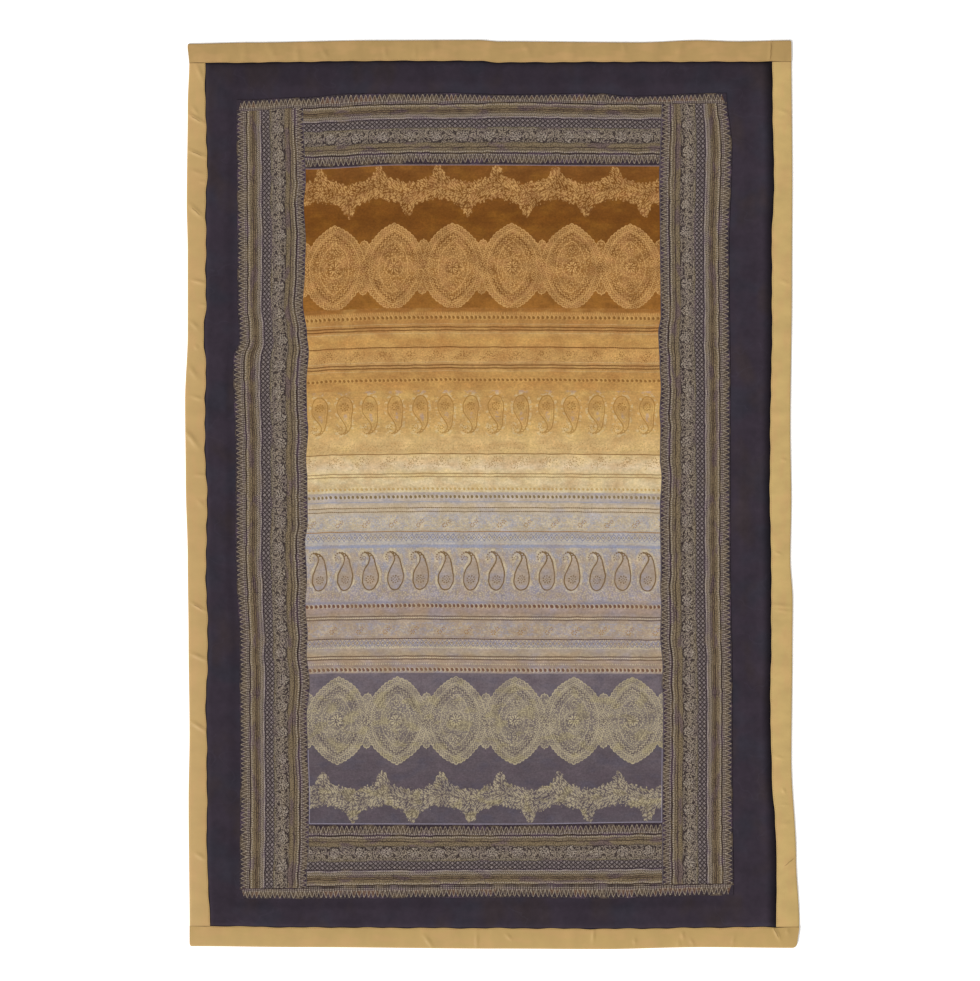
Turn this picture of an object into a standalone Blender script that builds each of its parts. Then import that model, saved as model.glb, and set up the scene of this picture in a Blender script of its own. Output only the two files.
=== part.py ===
# A printed throw blanket lying flat with its face up. A padded dark ground carries a printed
# centre panel, four printed border strips and two saw-toothed edgings, all sewn flat on it, and
# a satin binding is folded over its four edges. Metres, +Z up, +X to the right of the print and
# +Y towards its head. The origin is under the middle of the throw, on the surface it lies on.
from collections import namedtuple
import math

import bmesh
import bpy

MM = 0.001

# Driving sizes
THROW_WIDTH = 1400 * MM
THROW_LENGTH = 2100 * MM
SEWN_GAP = 0.3 * MM  # left between one cloth and the next
SIDE_BINDING_WIDTH = 42 * MM  # the left strip; the other three show a little more satin
BINDING_WIDTH = 47.5 * MM

# Heights above the surface
SATIN_THICKNESS = 1.2 * MM
PRESSED_EDGE_FOOT = SATIN_THICKNESS + SEWN_GAP  # underside of the ground inside the binding
PRESSED_EDGE_TOP = PRESSED_EDGE_FOOT + 2.0 * MM
BINDING_TOP = PRESSED_EDGE_TOP + SEWN_GAP + SATIN_THICKNESS
BINDING_CROWN = 0.7 * MM  # how far the satin puffs up between its fold and its seam
FOLD_SETBACK = 1.6 * MM  # where the round of the fold starts
FRAME_CROWN = 8.6 * MM  # the padded frame at its fullest
FRAME_UNEVENNESS = 0.5 * MM
PRINT_SEAT = 5.0 * MM  # the ground pressed down by what is sewn on it
PRINT_FOOT = PRINT_SEAT + SEWN_GAP
PRINT_THICKNESS = 1.2 * MM
PRINT_UNEVENNESS = 0.5 * MM

# Breadths across the padded frame, from the binding inwards
GROUND_IN_FOLD = 5 * MM  # the ground stops this short of the throw's outer edge
GROOVE_WIDTH = 2 * MM
RIM_WIDTH = 5 * MM
RIM_TO_CROWN = 11 * MM
CROWN_TO_PRINT = 24 * MM
SEAT_MARGIN = 3 * MM
TOOTH_MARGIN = 2.5 * MM  # plain cloth left outside the points of the printed teeth

# Rounds of the four corners, at the left and right end of each full-width strip of satin
CORNER_ROUNDS = {"binding_head": (3 * MM, 4 * MM), "binding_foot": (5 * MM, 11 * MM)}
CORNER_STEPS = (0.0, 2 * MM, 11 * MM)  # stations that follow the round, from the end inwards

Line = namedtuple("Line", "place wobble")  # wobble rows: (place along the line, stray), in mm

# The upright lines of the layout, from left to right: where each lies across the throw, and how
# far the real cloth strays to the right of it at places from foot to head.
UPRIGHT_LINES = {
    "left_edge": Line(-THROW_WIDTH / 2, (
        (-1031, 4.6), (-707, 1.9), (-557, 4.2), (-336, 1.9), (-151, 0.0), (34, -4.6), (219, -6.3),
        (382, 0.0), (567, 0.0), (683, -2.3), (914, 0.0), (1007, 3.5), (1042, 0.0))),
    "left_binding": Line(-THROW_WIDTH / 2 + SIDE_BINDING_WIDTH, (
        (-985, 9.3), (-823, 2.3), (-614, 2.3), (-475, 0.0), (-360, 4.6), (-151, 0.0), (-35, 3.2),
        (150, -2.8), (289, 0.0), (382, -4.6), (451, 0.0), (683, 0.0), (775, 3.5), (914, -1.2))),
    "left_teeth": Line(-582.6 * MM, (
        (-916, 5.8), (-707, 7.2), (-360, 5.8), (-128, -3.5), (104, -3.9), (301, -9.7), (330, -8.0),
        (365, 5.0), (451, 1.2), (868, -1.2))),
    "left_seam": Line(-426.3 * MM, (
        (-892, 2.3), (-800, 7.0), (-707, 4.6), (-360, 1.2), (34, 0.0), (150, 3.2), (335, 4.6),
        (451, -7.0), (590, 0.0), (683, -4.6), (729, 0.0), (891, -5.8))),
    "right_seam": Line(396.1 * MM, (
        (-904, 2.3), (-754, 1.9), (-337, 4.6), (-12, 0.0), (335, -2.3), (613, -2.3), (729, -4.6),
        (914, 1.2))),
    "right_teeth": Line(553.7 * MM, (
        (-904, 7.0), (-754, 4.6), (-475, 4.6), (-151, 0.0), (219, 0.0), (567, -3.5), (799, 3.5),
        (926, -9.3))),
    "right_binding": Line(THROW_WIDTH / 2 - BINDING_WIDTH, (
        (-985, 10.4), (-846, 11.4), (-753, 7.4), (-661, 0.2), (-475, -3.5), (-360, -1.2),
        (-151, -1.2), (-12, -4.6), (150, -3.5), (382, 0.7), (590, 0.2), (729, 5.8), (868, 2.5),
        (1002, 1.2))),
    "right_edge": Line(THROW_WIDTH / 2, (
        (-1043, 11.1), (-997, 16.2), (-846, 8.8), (-614, -2.3), (-360, 0.0), (-244, 0.9),
        (-151, -4.6), (-12, -2.3), (150, -4.6), (497, -0.9), (729, 0.0), (1053, -2.3))),
}

# The level lines, from foot to head: where each lies up the throw, and how far the real cloth
# strays above it at places from left to right.
LEVEL_LINES = {
    "foot_edge": Line(-THROW_LENGTH / 2, (
        (-695, 4.6), (-440, 2.3), (23, -1.2), (255, -2.3), (486, 2.3), (695, 0.5))),
    "foot_binding": Line(-THROW_LENGTH / 2 + BINDING_WIDTH, (
        (-649, 3.7), (-440, 0.7), (23, -1.2), (255, -2.5), (649, 1.4))),
    "foot_teeth": Line(-930.7 * MM, ((-510, -2.3), (23, 1.2), (255, -0.7), (544, 6.5))),
    "foot_edging": Line(-905.2 * MM, (
        (-568, -5.8), (-208, -1.2), (23, 1.2), (255, 1.2), (556, 5.8))),
    "panel_foot": Line(-761.6 * MM, ((-417, -0.5), (23, -1.2), (394, 3.5))),
    "panel_head": Line(761.6 * MM, (
        (-417, -7.0), (-208, 2.3), (-23, 2.3), (255, 0.5), (394, 0.0))),
    "head_edging": Line(902.9 * MM, (
        (-579, -15.3), (-440, -8.3), (-208, 1.2), (-23, 2.3), (23, 5.6), (313, 0.9), (486, 2.3),
        (544, 2.8))),
    "head_teeth": Line(923.7 * MM, (
        (-556, -12.5), (-440, -7.9), (-301, 1.6), (-93, 3.0), (23, -0.7), (255, 2.3), (313, -4.6),
        (537, 3.0))),
    "head_binding": Line(THROW_LENGTH / 2 - BINDING_WIDTH, (
        (-656, -2.3), (-208, 2.3), (-23, 2.3), (23, -1.4), (347, 0.0), (649, 0.5))),
    "head_edge": Line(THROW_LENGTH / 2, (
        (-700, -5.6), (-556, -2.8), (-255, 2.1), (-23, 3.0), (23, -0.2), (347, -2.5), (486, 2.3),
        (579, -0.2), (695, 2.3))),
}

# Soft creases in the printed cloth: middle across and up the throw, length along the crease,
# breadth of its flank, turn from level in degrees, and rise, all but the turn in mm.
Crease = namedtuple("Crease", "across up length breadth turn rise")
CREASES = (
    Crease(-505, 345, 170, 26, 12, 1.1),
    Crease(-500, -590, 150, 30, -8, 0.9),
    Crease(480, 640, 190, 34, 24, 0.8),
    Crease(470, -330, 180, 38, -20, 0.9),
    Crease(312, 890, 90, 12, 84, 1.1),
    Crease(-14, 880, 110, 14, 80, 1.0),
    Crease(-240, 420, 520, 60, 5, 0.8),
    Crease(150, 90, 620, 70, -4, 0.7),
    Crease(-90, -330, 560, 65, 6, 0.8),
    Crease(120, -640, 480, 55, -7, 0.7),
)

# Slow waves that keep the cloth from lying dead level, as turns of a sine: radians for each
# metre across and up, and where it starts.
Wave = namedtuple("Wave", "across up start")
FRAME_WAVES = (Wave(7.1, 2.3, 0.0), Wave(-3.1, 9.7, 1.2))
PRINT_WAVES = (Wave(6.3, 1.9, 0.4), Wave(-2.2, 5.2, 0.0))

# How finely each cloth is divided
FRAME_COLUMNS = 14
FRAME_ROWS = 22
PRINT_COLUMNS = 18
PRINT_ROWS = 28
STRIP_COLUMNS = 4
LEAST_STEP = 4 * MM  # no station is nearer than this to a cloth's edge
SHARP_ANGLE = math.radians(40)

Finish = namedtuple("Finish", "colour roughness")  # linear red, green and blue
FINISHES = {
    "ground_cloth": Finish((0.040, 0.031, 0.041), 0.9),
    "panel_print": Finish((0.376, 0.262, 0.142), 0.8),
    "border_print": Finish((0.141, 0.105, 0.084), 0.85),
    "edging_print": Finish((0.115, 0.088, 0.075), 0.85),
    "binding_satin": Finish((0.508, 0.342, 0.143), 0.45),
}


def upright(name):
    return UPRIGHT_LINES[name].place


def level(name):
    return LEVEL_LINES[name].place


def wobble_at(line, along):
    """How far a line strays at a place along it, smoothly between its rows and level past them."""
    rows = line.wobble
    spot = along / MM
    if spot <= rows[0][0]:
        return rows[0][1] * MM
    if spot >= rows[-1][0]:
        return rows[-1][1] * MM
    after = next(index for index, row in enumerate(rows) if row[0] > spot)
    (start, low), (end, high) = rows[after - 1], rows[after]
    share = (spot - start) / (end - start)
    eased = share * share * (3 - 2 * share)
    return (low + (high - low) * eased) * MM


def stray(lines, across, along):
    """The stray between two lines is shared out by how near each of them is."""
    ordered = list(lines.values())
    if across <= ordered[0].place:
        return wobble_at(ordered[0], along)
    if across >= ordered[-1].place:
        return wobble_at(ordered[-1], along)
    after = next(index for index, line in enumerate(ordered) if line.place > across)
    near, far = ordered[after - 1], ordered[after]
    share = (across - near.place) / (far.place - near.place)
    return wobble_at(near, along) * (1 - share) + wobble_at(far, along) * share


def laid(x, y):
    """Where a place of the even layout lies on the real, slightly uneven throw."""
    return x + stray(UPRIGHT_LINES, x, y), y + stray(LEVEL_LINES, y, x)


def smooth_step(value, start, end):
    share = min(max((value - start) / (end - start), 0.0), 1.0)
    return share * share * (3 - 2 * share)


def spread(low, high, count):
    return [low + (high - low) * step / count for step in range(count + 1)]


def frame_stations(edge, binding, seat, far_seat, far_binding, far_edge, count):
    """Grid places from one outer edge to the other, close together across the padded frame."""
    near = [
        edge + GROUND_IN_FOLD,
        binding + GROOVE_WIDTH,
        binding + GROOVE_WIDTH + RIM_WIDTH,
        binding + GROOVE_WIDTH + RIM_WIDTH + RIM_TO_CROWN,
        seat - CROWN_TO_PRINT,
    ]
    far = [
        far_seat + CROWN_TO_PRINT,
        far_binding - GROOVE_WIDTH - RIM_WIDTH - RIM_TO_CROWN,
        far_binding - GROOVE_WIDTH - RIM_WIDTH,
        far_binding - GROOVE_WIDTH,
        far_edge - GROUND_IN_FOLD,
    ]
    return near + spread(seat, far_seat, count) + far


def within(stations, low, high):
    """The stations inside a stretch, with its two ends."""
    inner = [place for place in stations if low + LEAST_STEP < place < high - LEAST_STEP]
    return [low] + inner + [high]


SEAT_LEFT = upright("left_teeth") - TOOTH_MARGIN - SEAT_MARGIN
SEAT_RIGHT = upright("right_teeth") + TOOTH_MARGIN + SEAT_MARGIN
SEAT_FOOT = level("foot_teeth") - TOOTH_MARGIN - SEAT_MARGIN
SEAT_HEAD = level("head_teeth") + TOOTH_MARGIN + SEAT_MARGIN
FRAME_X = frame_stations(
    upright("left_edge"), upright("left_binding"), SEAT_LEFT,
    SEAT_RIGHT, upright("right_binding"), upright("right_edge"), FRAME_COLUMNS)
FRAME_Y = frame_stations(
    level("foot_edge"), level("foot_binding"), SEAT_FOOT,
    SEAT_HEAD, level("head_binding"), level("head_edge"), FRAME_ROWS)
PRINT_X = spread(upright("left_seam"), upright("right_seam"), PRINT_COLUMNS)
PRINT_Y = spread(level("panel_foot"), level("panel_head"), PRINT_ROWS)


def clear_of_binding(x, y):
    """0 inside the binding and 1 past the rounded rim of the padded frame."""
    rim = RIM_WIDTH + RIM_TO_CROWN
    start = GROOVE_WIDTH
    left = smooth_step(x - upright("left_binding"), start, start + rim)
    right = smooth_step(upright("right_binding") - x, start, start + rim)
    foot = smooth_step(y - level("foot_binding"), start, start + rim)
    head = smooth_step(level("head_binding") - y, start, start + rim)
    return left * right * foot * head


def pressed_by_print(x, y):
    """1 under the sewn-on cloths and 0 out on the crown of the padded frame."""
    left = smooth_step(x, SEAT_LEFT - CROWN_TO_PRINT, SEAT_LEFT)
    right = smooth_step(-x, -SEAT_RIGHT - CROWN_TO_PRINT, -SEAT_RIGHT)
    foot = smooth_step(y, SEAT_FOOT - CROWN_TO_PRINT, SEAT_FOOT)
    head = smooth_step(-y, -SEAT_HEAD - CROWN_TO_PRINT, -SEAT_HEAD)
    return left * right * foot * head


def swell(waves, x, y):
    """The mean of a few slow waves, between -1 and 1."""
    heights = [math.sin(wave.across * x + wave.up * y + wave.start) for wave in waves]
    return sum(heights) / len(heights)


def ground_top(x, y):
    raised = clear_of_binding(x, y)
    pressed = pressed_by_print(x, y)
    crown = FRAME_CROWN + FRAME_UNEVENNESS * swell(FRAME_WAVES, x, y)
    open_frame = PRESSED_EDGE_TOP + (crown - PRESSED_EDGE_TOP) * raised
    return open_frame * (1 - pressed) + PRINT_SEAT * pressed


def ground_foot(x, y):
    """The underside is flat but for the pressed edge, which lies on the lower fold of satin."""
    lifts = (
        smooth_step(upright("left_binding") + GROOVE_WIDTH - x, -RIM_WIDTH, 0),
        smooth_step(x - upright("right_binding") + GROOVE_WIDTH, -RIM_WIDTH, 0),
        smooth_step(level("foot_binding") + GROOVE_WIDTH - y, -RIM_WIDTH, 0),
        smooth_step(y - level("head_binding") + GROOVE_WIDTH, -RIM_WIDTH, 0),
    )
    return PRESSED_EDGE_FOOT * max(lifts)


def crease_rise(crease, x, y):
    turn = math.radians(crease.turn)
    east = x - crease.across * MM
    north = y - crease.up * MM
    along = east * math.cos(turn) + north * math.sin(turn)
    aside = north * math.cos(turn) - east * math.sin(turn)
    fade = math.exp(-((2 * along / (crease.length * MM)) ** 2))
    return crease.rise * MM * fade * math.exp(-((aside / (crease.breadth * MM)) ** 2))


def print_top(x, y):
    """The face of the printed cloth: its thickness, a slow unevenness and the main creases."""
    slow = PRINT_UNEVENNESS * (1 + swell(PRINT_WAVES, x, y)) / 2
    rise = sum(crease_rise(crease, x, y) for crease in CREASES)
    return PRINT_FOOT + PRINT_THICKNESS + slow + rise


def print_foot(x, y):
    return PRINT_FOOT


def cloth_material(name):
    finish = FINISHES[name]
    material = bpy.data.materials.new(name)
    material.use_nodes = True
    shader = material.node_tree.nodes["Principled BSDF"]
    shader.inputs["Base Color"].default_value = (*finish.colour, 1.0)
    shader.inputs["Roughness"].default_value = finish.roughness
    shader.inputs["Metallic"].default_value = 0.0
    material.diffuse_color = (*finish.colour, 1.0)
    return material


def add_piece(name, mesh_builder, material_name):
    """Turns a finished bmesh into a named object with a material of its own."""
    mesh = bpy.data.meshes.new(name)
    bmesh.ops.recalc_face_normals(mesh_builder, faces=mesh_builder.faces)
    mesh_builder.to_mesh(mesh)
    mesh_builder.free()
    mesh.shade_smooth()
    mesh.set_sharp_from_angle(angle=SHARP_ANGLE)
    mesh.materials.append(cloth_material(material_name))
    piece = bpy.data.objects.new(name, mesh)
    bpy.context.scene.collection.objects.link(piece)
    return piece


def add_cloth(name, columns, rows, top, foot, material_name):
    """A closed sheet on a grid of the layout, with a height for its face and its underside."""
    builder = bmesh.new()
    faces_up = []
    faces_down = []
    for y in rows:
        upper = []
        lower = []
        for x in columns:
            real_x, real_y = laid(x, y)
            upper.append(builder.verts.new((real_x, real_y, top(x, y))))
            lower.append(builder.verts.new((real_x, real_y, foot(x, y))))
        faces_up.append(upper)
        faces_down.append(lower)
    last_row = len(rows) - 1
    last_column = len(columns) - 1
    for row in range(last_row):
        for column in range(last_column):
            corners = ((row, column), (row, column + 1), (row + 1, column + 1), (row + 1, column))
            builder.faces.new([faces_up[r][c] for r, c in corners])
            builder.faces.new([faces_down[r][c] for r, c in reversed(corners)])
    rim = [(0, column) for column in range(last_column)]
    rim += [(row, last_column) for row in range(last_row)]
    rim += [(last_row, column) for column in range(last_column, 0, -1)]
    rim += [(row, 0) for row in range(last_row, 0, -1)]
    for (row, column), (next_row, next_column) in zip(rim, rim[1:] + rim[:1]):
        builder.faces.new((
            faces_down[row][column], faces_down[next_row][next_column],
            faces_up[next_row][next_column], faces_up[row][column]))
    return add_piece(name, builder, material_name)


def binding_section(width):
    """The folded strip cut across: (distance in from the fold, height), round the section."""
    fold_height = BINDING_TOP / 2
    inside_top = BINDING_TOP - SATIN_THICKNESS
    return (
        (width, 0.0),
        (FOLD_SETBACK, 0.0),
        (0.0, fold_height),
        (FOLD_SETBACK, BINDING_TOP),
        (width * 0.5, BINDING_TOP + BINDING_CROWN),
        (width, BINDING_TOP),
        (width, inside_top),
        (width * 0.5, inside_top),
        (SATIN_THICKNESS, inside_top),
        (SATIN_THICKNESS, SATIN_THICKNESS),
        (width, SATIN_THICKNESS),
    )


def corner_cut(name, place, stations):
    """How far the fold draws in at a rounded end of a full-width strip."""
    cut = 0.0
    for radius, end in zip(CORNER_ROUNDS.get(name, ()), (stations[0], stations[-1])):
        reach = radius - abs(end - place)
        if reach > 0:
            cut = max(cut, radius - math.sqrt(radius ** 2 - reach ** 2))
    return cut


def add_binding(name, fold, seam, stations, runs_up):
    """A satin strip folded over one edge, from its fold on the outside to its seam inside."""
    builder = bmesh.new()
    inward = 1 if seam > fold else -1
    width = abs(seam - fold)
    section = binding_section(width)
    rings = []
    for place in stations:
        cut = corner_cut(name, place, stations)
        ring = []
        for inset, height in section:
            across = fold + inward * (cut + inset * (width - cut) / width)
            spot = laid(across, place) if runs_up else laid(place, across)
            ring.append(builder.verts.new((*spot, height)))
        rings.append(ring)
    for near, far in zip(rings, rings[1:]):
        for corner, point in enumerate(near):
            following = (corner + 1) % len(near)
            builder.faces.new((point, near[following], far[following], far[corner]))
    builder.faces.new(rings[0])
    builder.faces.new(list(reversed(rings[-1])))
    return add_piece(name, builder, "binding_satin")


def add_ground():
    return add_cloth("ground", FRAME_X, FRAME_Y, ground_top, ground_foot, "ground_cloth")


def add_printed_cloths():
    """The panel, the strips round it and the saw-toothed edgings, each a hair from the next."""
    half_gap = SEWN_GAP / 2
    columns = {
        "left": (upright("left_teeth") - TOOTH_MARGIN, upright("left_seam") - half_gap),
        "middle": (upright("left_seam") + half_gap, upright("right_seam") - half_gap),
        "right": (upright("right_seam") + half_gap, upright("right_teeth") + TOOTH_MARGIN),
        "full": (upright("left_teeth") - TOOTH_MARGIN, upright("right_teeth") + TOOTH_MARGIN),
    }
    rows = {
        "foot edging": (level("foot_teeth") - TOOTH_MARGIN, level("foot_edging") - half_gap),
        "foot": (level("foot_edging") + half_gap, level("panel_foot") - half_gap),
        "panel": (level("panel_foot") + half_gap, level("panel_head") - half_gap),
        "head": (level("panel_head") + half_gap, level("head_edging") - half_gap),
        "head edging": (level("head_edging") + half_gap, level("head_teeth") + TOOTH_MARGIN),
        "strip": (level("foot_edging") + half_gap, level("head_edging") - half_gap),
    }
    strip_middle_foot = sum(rows["foot"]) / 2
    strip_middle_head = sum(rows["head"]) / 2
    left_x = spread(*columns["left"], STRIP_COLUMNS)
    right_x = spread(*columns["right"], STRIP_COLUMNS)
    all_x = sorted(left_x + PRINT_X + right_x)
    all_y = sorted(
        PRINT_Y + [level("panel_foot"), strip_middle_foot, strip_middle_head, level("panel_head")])
    cloths = (
        ("centre_panel", "middle", "panel", "panel_print"),
        ("border_left", "left", "strip", "border_print"),
        ("border_right", "right", "strip", "border_print"),
        ("border_head", "middle", "head", "border_print"),
        ("border_foot", "middle", "foot", "border_print"),
        ("edging_head", "full", "head edging", "edging_print"),
        ("edging_foot", "full", "foot edging", "edging_print"),
    )
    for name, across, up, material_name in cloths:
        add_cloth(
            name, within(all_x, *columns[across]), within(all_y, *rows[up]),
            print_top, print_foot, material_name)


def add_bindings():
    """The head and foot strips run the full width, and the side strips butt between them."""
    ends = [upright("left_edge") + step for step in CORNER_STEPS]
    ends += [upright("right_edge") - step for step in CORNER_STEPS]
    full_width = sorted(ends + FRAME_X)
    between = within(
        FRAME_Y, level("foot_binding") + SEWN_GAP, level("head_binding") - SEWN_GAP)
    add_binding("binding_foot", level("foot_edge"), level("foot_binding"), full_width, False)
    add_binding("binding_head", level("head_edge"), level("head_binding"), full_width, False)
    add_binding("binding_left", upright("left_edge"), upright("left_binding"), between, True)
    add_binding("binding_right", upright("right_edge"), upright("right_binding"), between, True)


def centre_on_origin():
    """Puts the middle of the outline's extremes over the origin."""
    meshes = [piece.data for piece in bpy.context.scene.objects if piece.type == "MESH"]
    across = [vertex.co.x for mesh in meshes for vertex in mesh.vertices]
    up = [vertex.co.y for mesh in meshes for vertex in mesh.vertices]
    middle_x = (min(across) + max(across)) / 2
    middle_y = (min(up) + max(up)) / 2
    for mesh in meshes:
        for vertex in mesh.vertices:
            vertex.co.x -= middle_x
            vertex.co.y -= middle_y


def main():
    for old in list(bpy.data.objects):
        bpy.data.objects.remove(old, do_unlink=True)
    add_ground()
    add_printed_cloths()
    add_bindings()
    centre_on_origin()


main()
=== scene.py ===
import math

import bpy
import numpy as np
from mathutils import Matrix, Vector


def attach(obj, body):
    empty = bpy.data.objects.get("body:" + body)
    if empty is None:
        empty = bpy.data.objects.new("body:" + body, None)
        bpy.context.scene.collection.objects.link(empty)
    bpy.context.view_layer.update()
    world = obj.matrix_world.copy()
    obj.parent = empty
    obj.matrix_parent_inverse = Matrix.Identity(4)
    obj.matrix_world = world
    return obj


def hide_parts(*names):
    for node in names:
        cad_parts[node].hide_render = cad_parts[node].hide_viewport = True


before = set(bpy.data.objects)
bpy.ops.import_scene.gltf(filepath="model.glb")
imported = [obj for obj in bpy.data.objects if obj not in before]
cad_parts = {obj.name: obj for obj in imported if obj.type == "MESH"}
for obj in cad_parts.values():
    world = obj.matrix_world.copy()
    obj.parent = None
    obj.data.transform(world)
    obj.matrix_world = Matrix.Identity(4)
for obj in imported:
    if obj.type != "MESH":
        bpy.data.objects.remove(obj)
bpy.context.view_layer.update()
print("Loaded the frame of the throw,", len(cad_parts), "sewn pieces")

mm = 0.001

# The sewn lines of the throw, all in mm from the middle of its layout: where each lies, and how
# far the real cloth strays from it at places along it. Upright lines stray to the right.
uprightLines = {
    "left edge": (-700, (
        (-1031, 4.6), (-707, 1.9), (-557, 4.2), (-336, 1.9), (-151, 0.0), (34, -4.6), (219, -6.3),
        (382, 0.0), (567, 0.0), (683, -2.3), (914, 0.0), (1007, 3.5), (1042, 0.0))),
    "left binding": (-658, (
        (-985, 9.3), (-823, 2.3), (-614, 2.3), (-475, 0.0), (-360, 4.6), (-151, 0.0), (-35, 3.2),
        (150, -2.8), (289, 0.0), (382, -4.6), (451, 0.0), (683, 0.0), (775, 3.5), (914, -1.2))),
    "left teeth": (-582.6, (
        (-916, 5.8), (-707, 7.2), (-360, 5.8), (-128, -3.5), (104, -3.9), (301, -9.7), (330, -8.0),
        (365, 5.0), (451, 1.2), (868, -1.2))),
    "left seam": (-426.3, (
        (-892, 2.3), (-800, 7.0), (-698, 8.0), (-587, 4.6), (-513, 2.4), (-438, 9.5), (-364, 2.2),
        (-327, 4.6), (-253, -0.6), (-200, 2.9), (-105, -1.2), (-68, 4.6), (43, 3.7), (81, 0.8),
        (155, 5.9), (192, 2.9), (266, 1.8), (340, 7.1), (377, 3.1), (451, -6.5), (525, -1.8),
        (590, 0.0), (683, -4.6), (729, 0.0), (891, -5.8))),
    "right seam": (396.1, (
        (-904, 2.3), (-754, 1.9), (-475, 4.1), (-438, 0.5), (-401, 3.2), (-327, -2.3), (-253, -0.5),
        (-216, -2.6), (-179, -1.1), (-31, -3.1), (43, 0.7), (81, -3.2), (155, -1.9), (192, -4.1),
        (247, -1.0), (303, -3.7), (377, -6.8), (414, -1.4), (613, -3.0), (729, -4.6), (914, 1.2))),
    "right teeth": (553.7, (
        (-904, 7.0), (-754, 4.6), (-475, 4.6), (-151, 0.0), (219, 0.0), (567, -3.5), (799, 3.5),
        (926, -9.3))),
    "right binding": (652.5, (
        (-985, 10.4), (-846, 11.4), (-753, 7.4), (-661, 0.2), (-475, -3.5), (-360, -1.2),
        (-151, -1.2), (-12, -4.6), (150, -3.5), (382, 0.7), (590, 0.2), (729, 5.8), (868, 2.5),
        (1002, 1.2))),
    "right edge": (700, (
        (-1043, 11.1), (-997, 16.2), (-846, 8.8), (-614, -2.3), (-360, 0.0), (-244, 0.9),
        (-151, -4.6), (-12, -2.3), (150, -4.6), (497, -0.9), (729, 0.0), (1053, -2.3))),
}

# Level lines stray towards the head. Those inside the panel carry the bow of its bands.
levelLines = {
    "foot edge": (-1050, (
        (-695, 4.6), (-440, 2.3), (23, -1.2), (255, -2.3), (486, 2.3), (695, 0.5))),
    "foot binding": (-1002.5, ((-649, 3.7), (-440, 0.7), (23, -1.2), (255, -2.5), (649, 1.4))),
    "foot teeth": (-930.7, ((-510, -2.3), (23, 1.2), (255, -0.7), (544, 6.5))),
    "foot edging": (-905.2, ((-568, -5.8), (-208, -1.2), (23, 1.2), (255, 1.2), (556, 5.8))),
    "panel foot": (-761.6, ((-417, -0.5), (23, -1.2), (394, 3.5))),
    "lower bands": (-336, ((-423, 0.0), (-370, 2.4), (-139, 3.9), (70, 1.5), (278, 0.9), (390, -0.2))),
    "lilac bands": (-20, ((-423, -1.1), (-370, 1.4), (-139, 4.1), (70, 3.8), (278, 2.8), (390, 0.6))),
    "middle bands": (38.8, ((-423, -2.7), (-370, -0.1), (-139, 2.5), (70, 1.8), (278, 0.8), (390, -0.6))),
    "cream bands": (100, ((-423, -2.3), (-370, 0.3), (-139, 3.5), (70, 3.4), (278, 2.3), (390, 0.7))),
    "upper bands": (340, ((-423, -7), (-370, -4), (-250, 0), (-139, 1.6), (70, 1.4), (278, 0), (390, -1.6))),
    "panel head": (761.6, ((-417, -7.0), (-208, 2.3), (-23, 2.3), (255, 0.5), (394, 0.0))),
    "head edging": (902.9, (
        (-579, -15.3), (-440, -8.3), (-208, 1.2), (-23, 2.3), (23, 5.6), (313, 0.9), (486, 2.3),
        (544, 2.8))),
    "head teeth": (923.7, (
        (-556, -12.5), (-440, -7.9), (-301, 1.6), (-93, 3.0), (23, -0.7), (255, 2.3), (313, -4.6),
        (537, 3.0))),
    "head binding": (1002.5, (
        (-656, -2.3), (-208, 2.3), (-23, 2.3), (23, -1.4), (347, 0.0), (649, 0.5))),
    "head edge": (1050, (
        (-700, -5.6), (-556, -2.8), (-255, 2.1), (-23, 3.0), (23, -0.2), (347, -2.5), (486, 2.3),
        (579, -0.2), (695, 2.3))),
}


def strayAlong(line, along):
    spots, strays = np.array(line[1], float).T
    after = np.clip(np.searchsorted(spots, along), 1, len(spots) - 1)
    share = np.clip((along - spots[after - 1]) / (spots[after] - spots[after - 1]), 0, 1)
    return strays[after - 1] + (strays[after] - strays[after - 1]) * share ** 2 * (3 - 2 * share)


def strayBetween(lines, across, along):
    rows = list(lines.values())
    stray = strayAlong(rows[0], along)
    for near, far in zip(rows, rows[1:]):  # shared out by how far past each line the place is
        share = np.clip((across - near[0]) / (far[0] - near[0]), 0, 1)
        stray = stray + (strayAlong(far, along) - strayAlong(near, along)) * share
    return stray


def strayed(x, y):  # where a place of the even layout lies on the real, uneven throw
    return x + strayBetween(uprightLines, x, y), y + strayBetween(levelLines, y, x)


def upright(name):
    return uprightLines[name][0]


def level(name):
    return levelLines[name][0]


leftSeam, rightSeam = upright("left seam"), upright("right seam")
leftTeeth, rightTeeth = upright("left teeth"), upright("right teeth")


def outlineMiddle():  # the CAD is centred on the middle of the outline's extremes
    along = np.linspace(level("foot edge"), level("head edge"), 400)
    sides = [strayed(np.full(400, upright(side)), along)[0] for side in ("left edge", "right edge")]
    along = np.linspace(upright("left edge"), upright("right edge"), 400)
    ends = [strayed(along, np.full(400, level(end)))[1] for end in ("foot edge", "head edge")]
    return (sides[0].min() + sides[1].max()) / 2, (ends[0].min() + ends[1].max()) / 2


middleX, middleY = outlineMiddle()


def laid(x, y):  # the same in the CAD's frame
    strayedX, strayedY = strayed(x, y)
    return strayedX - middleX, strayedY - middleY


# Heights above the surface, and thicknesses, in mm

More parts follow.
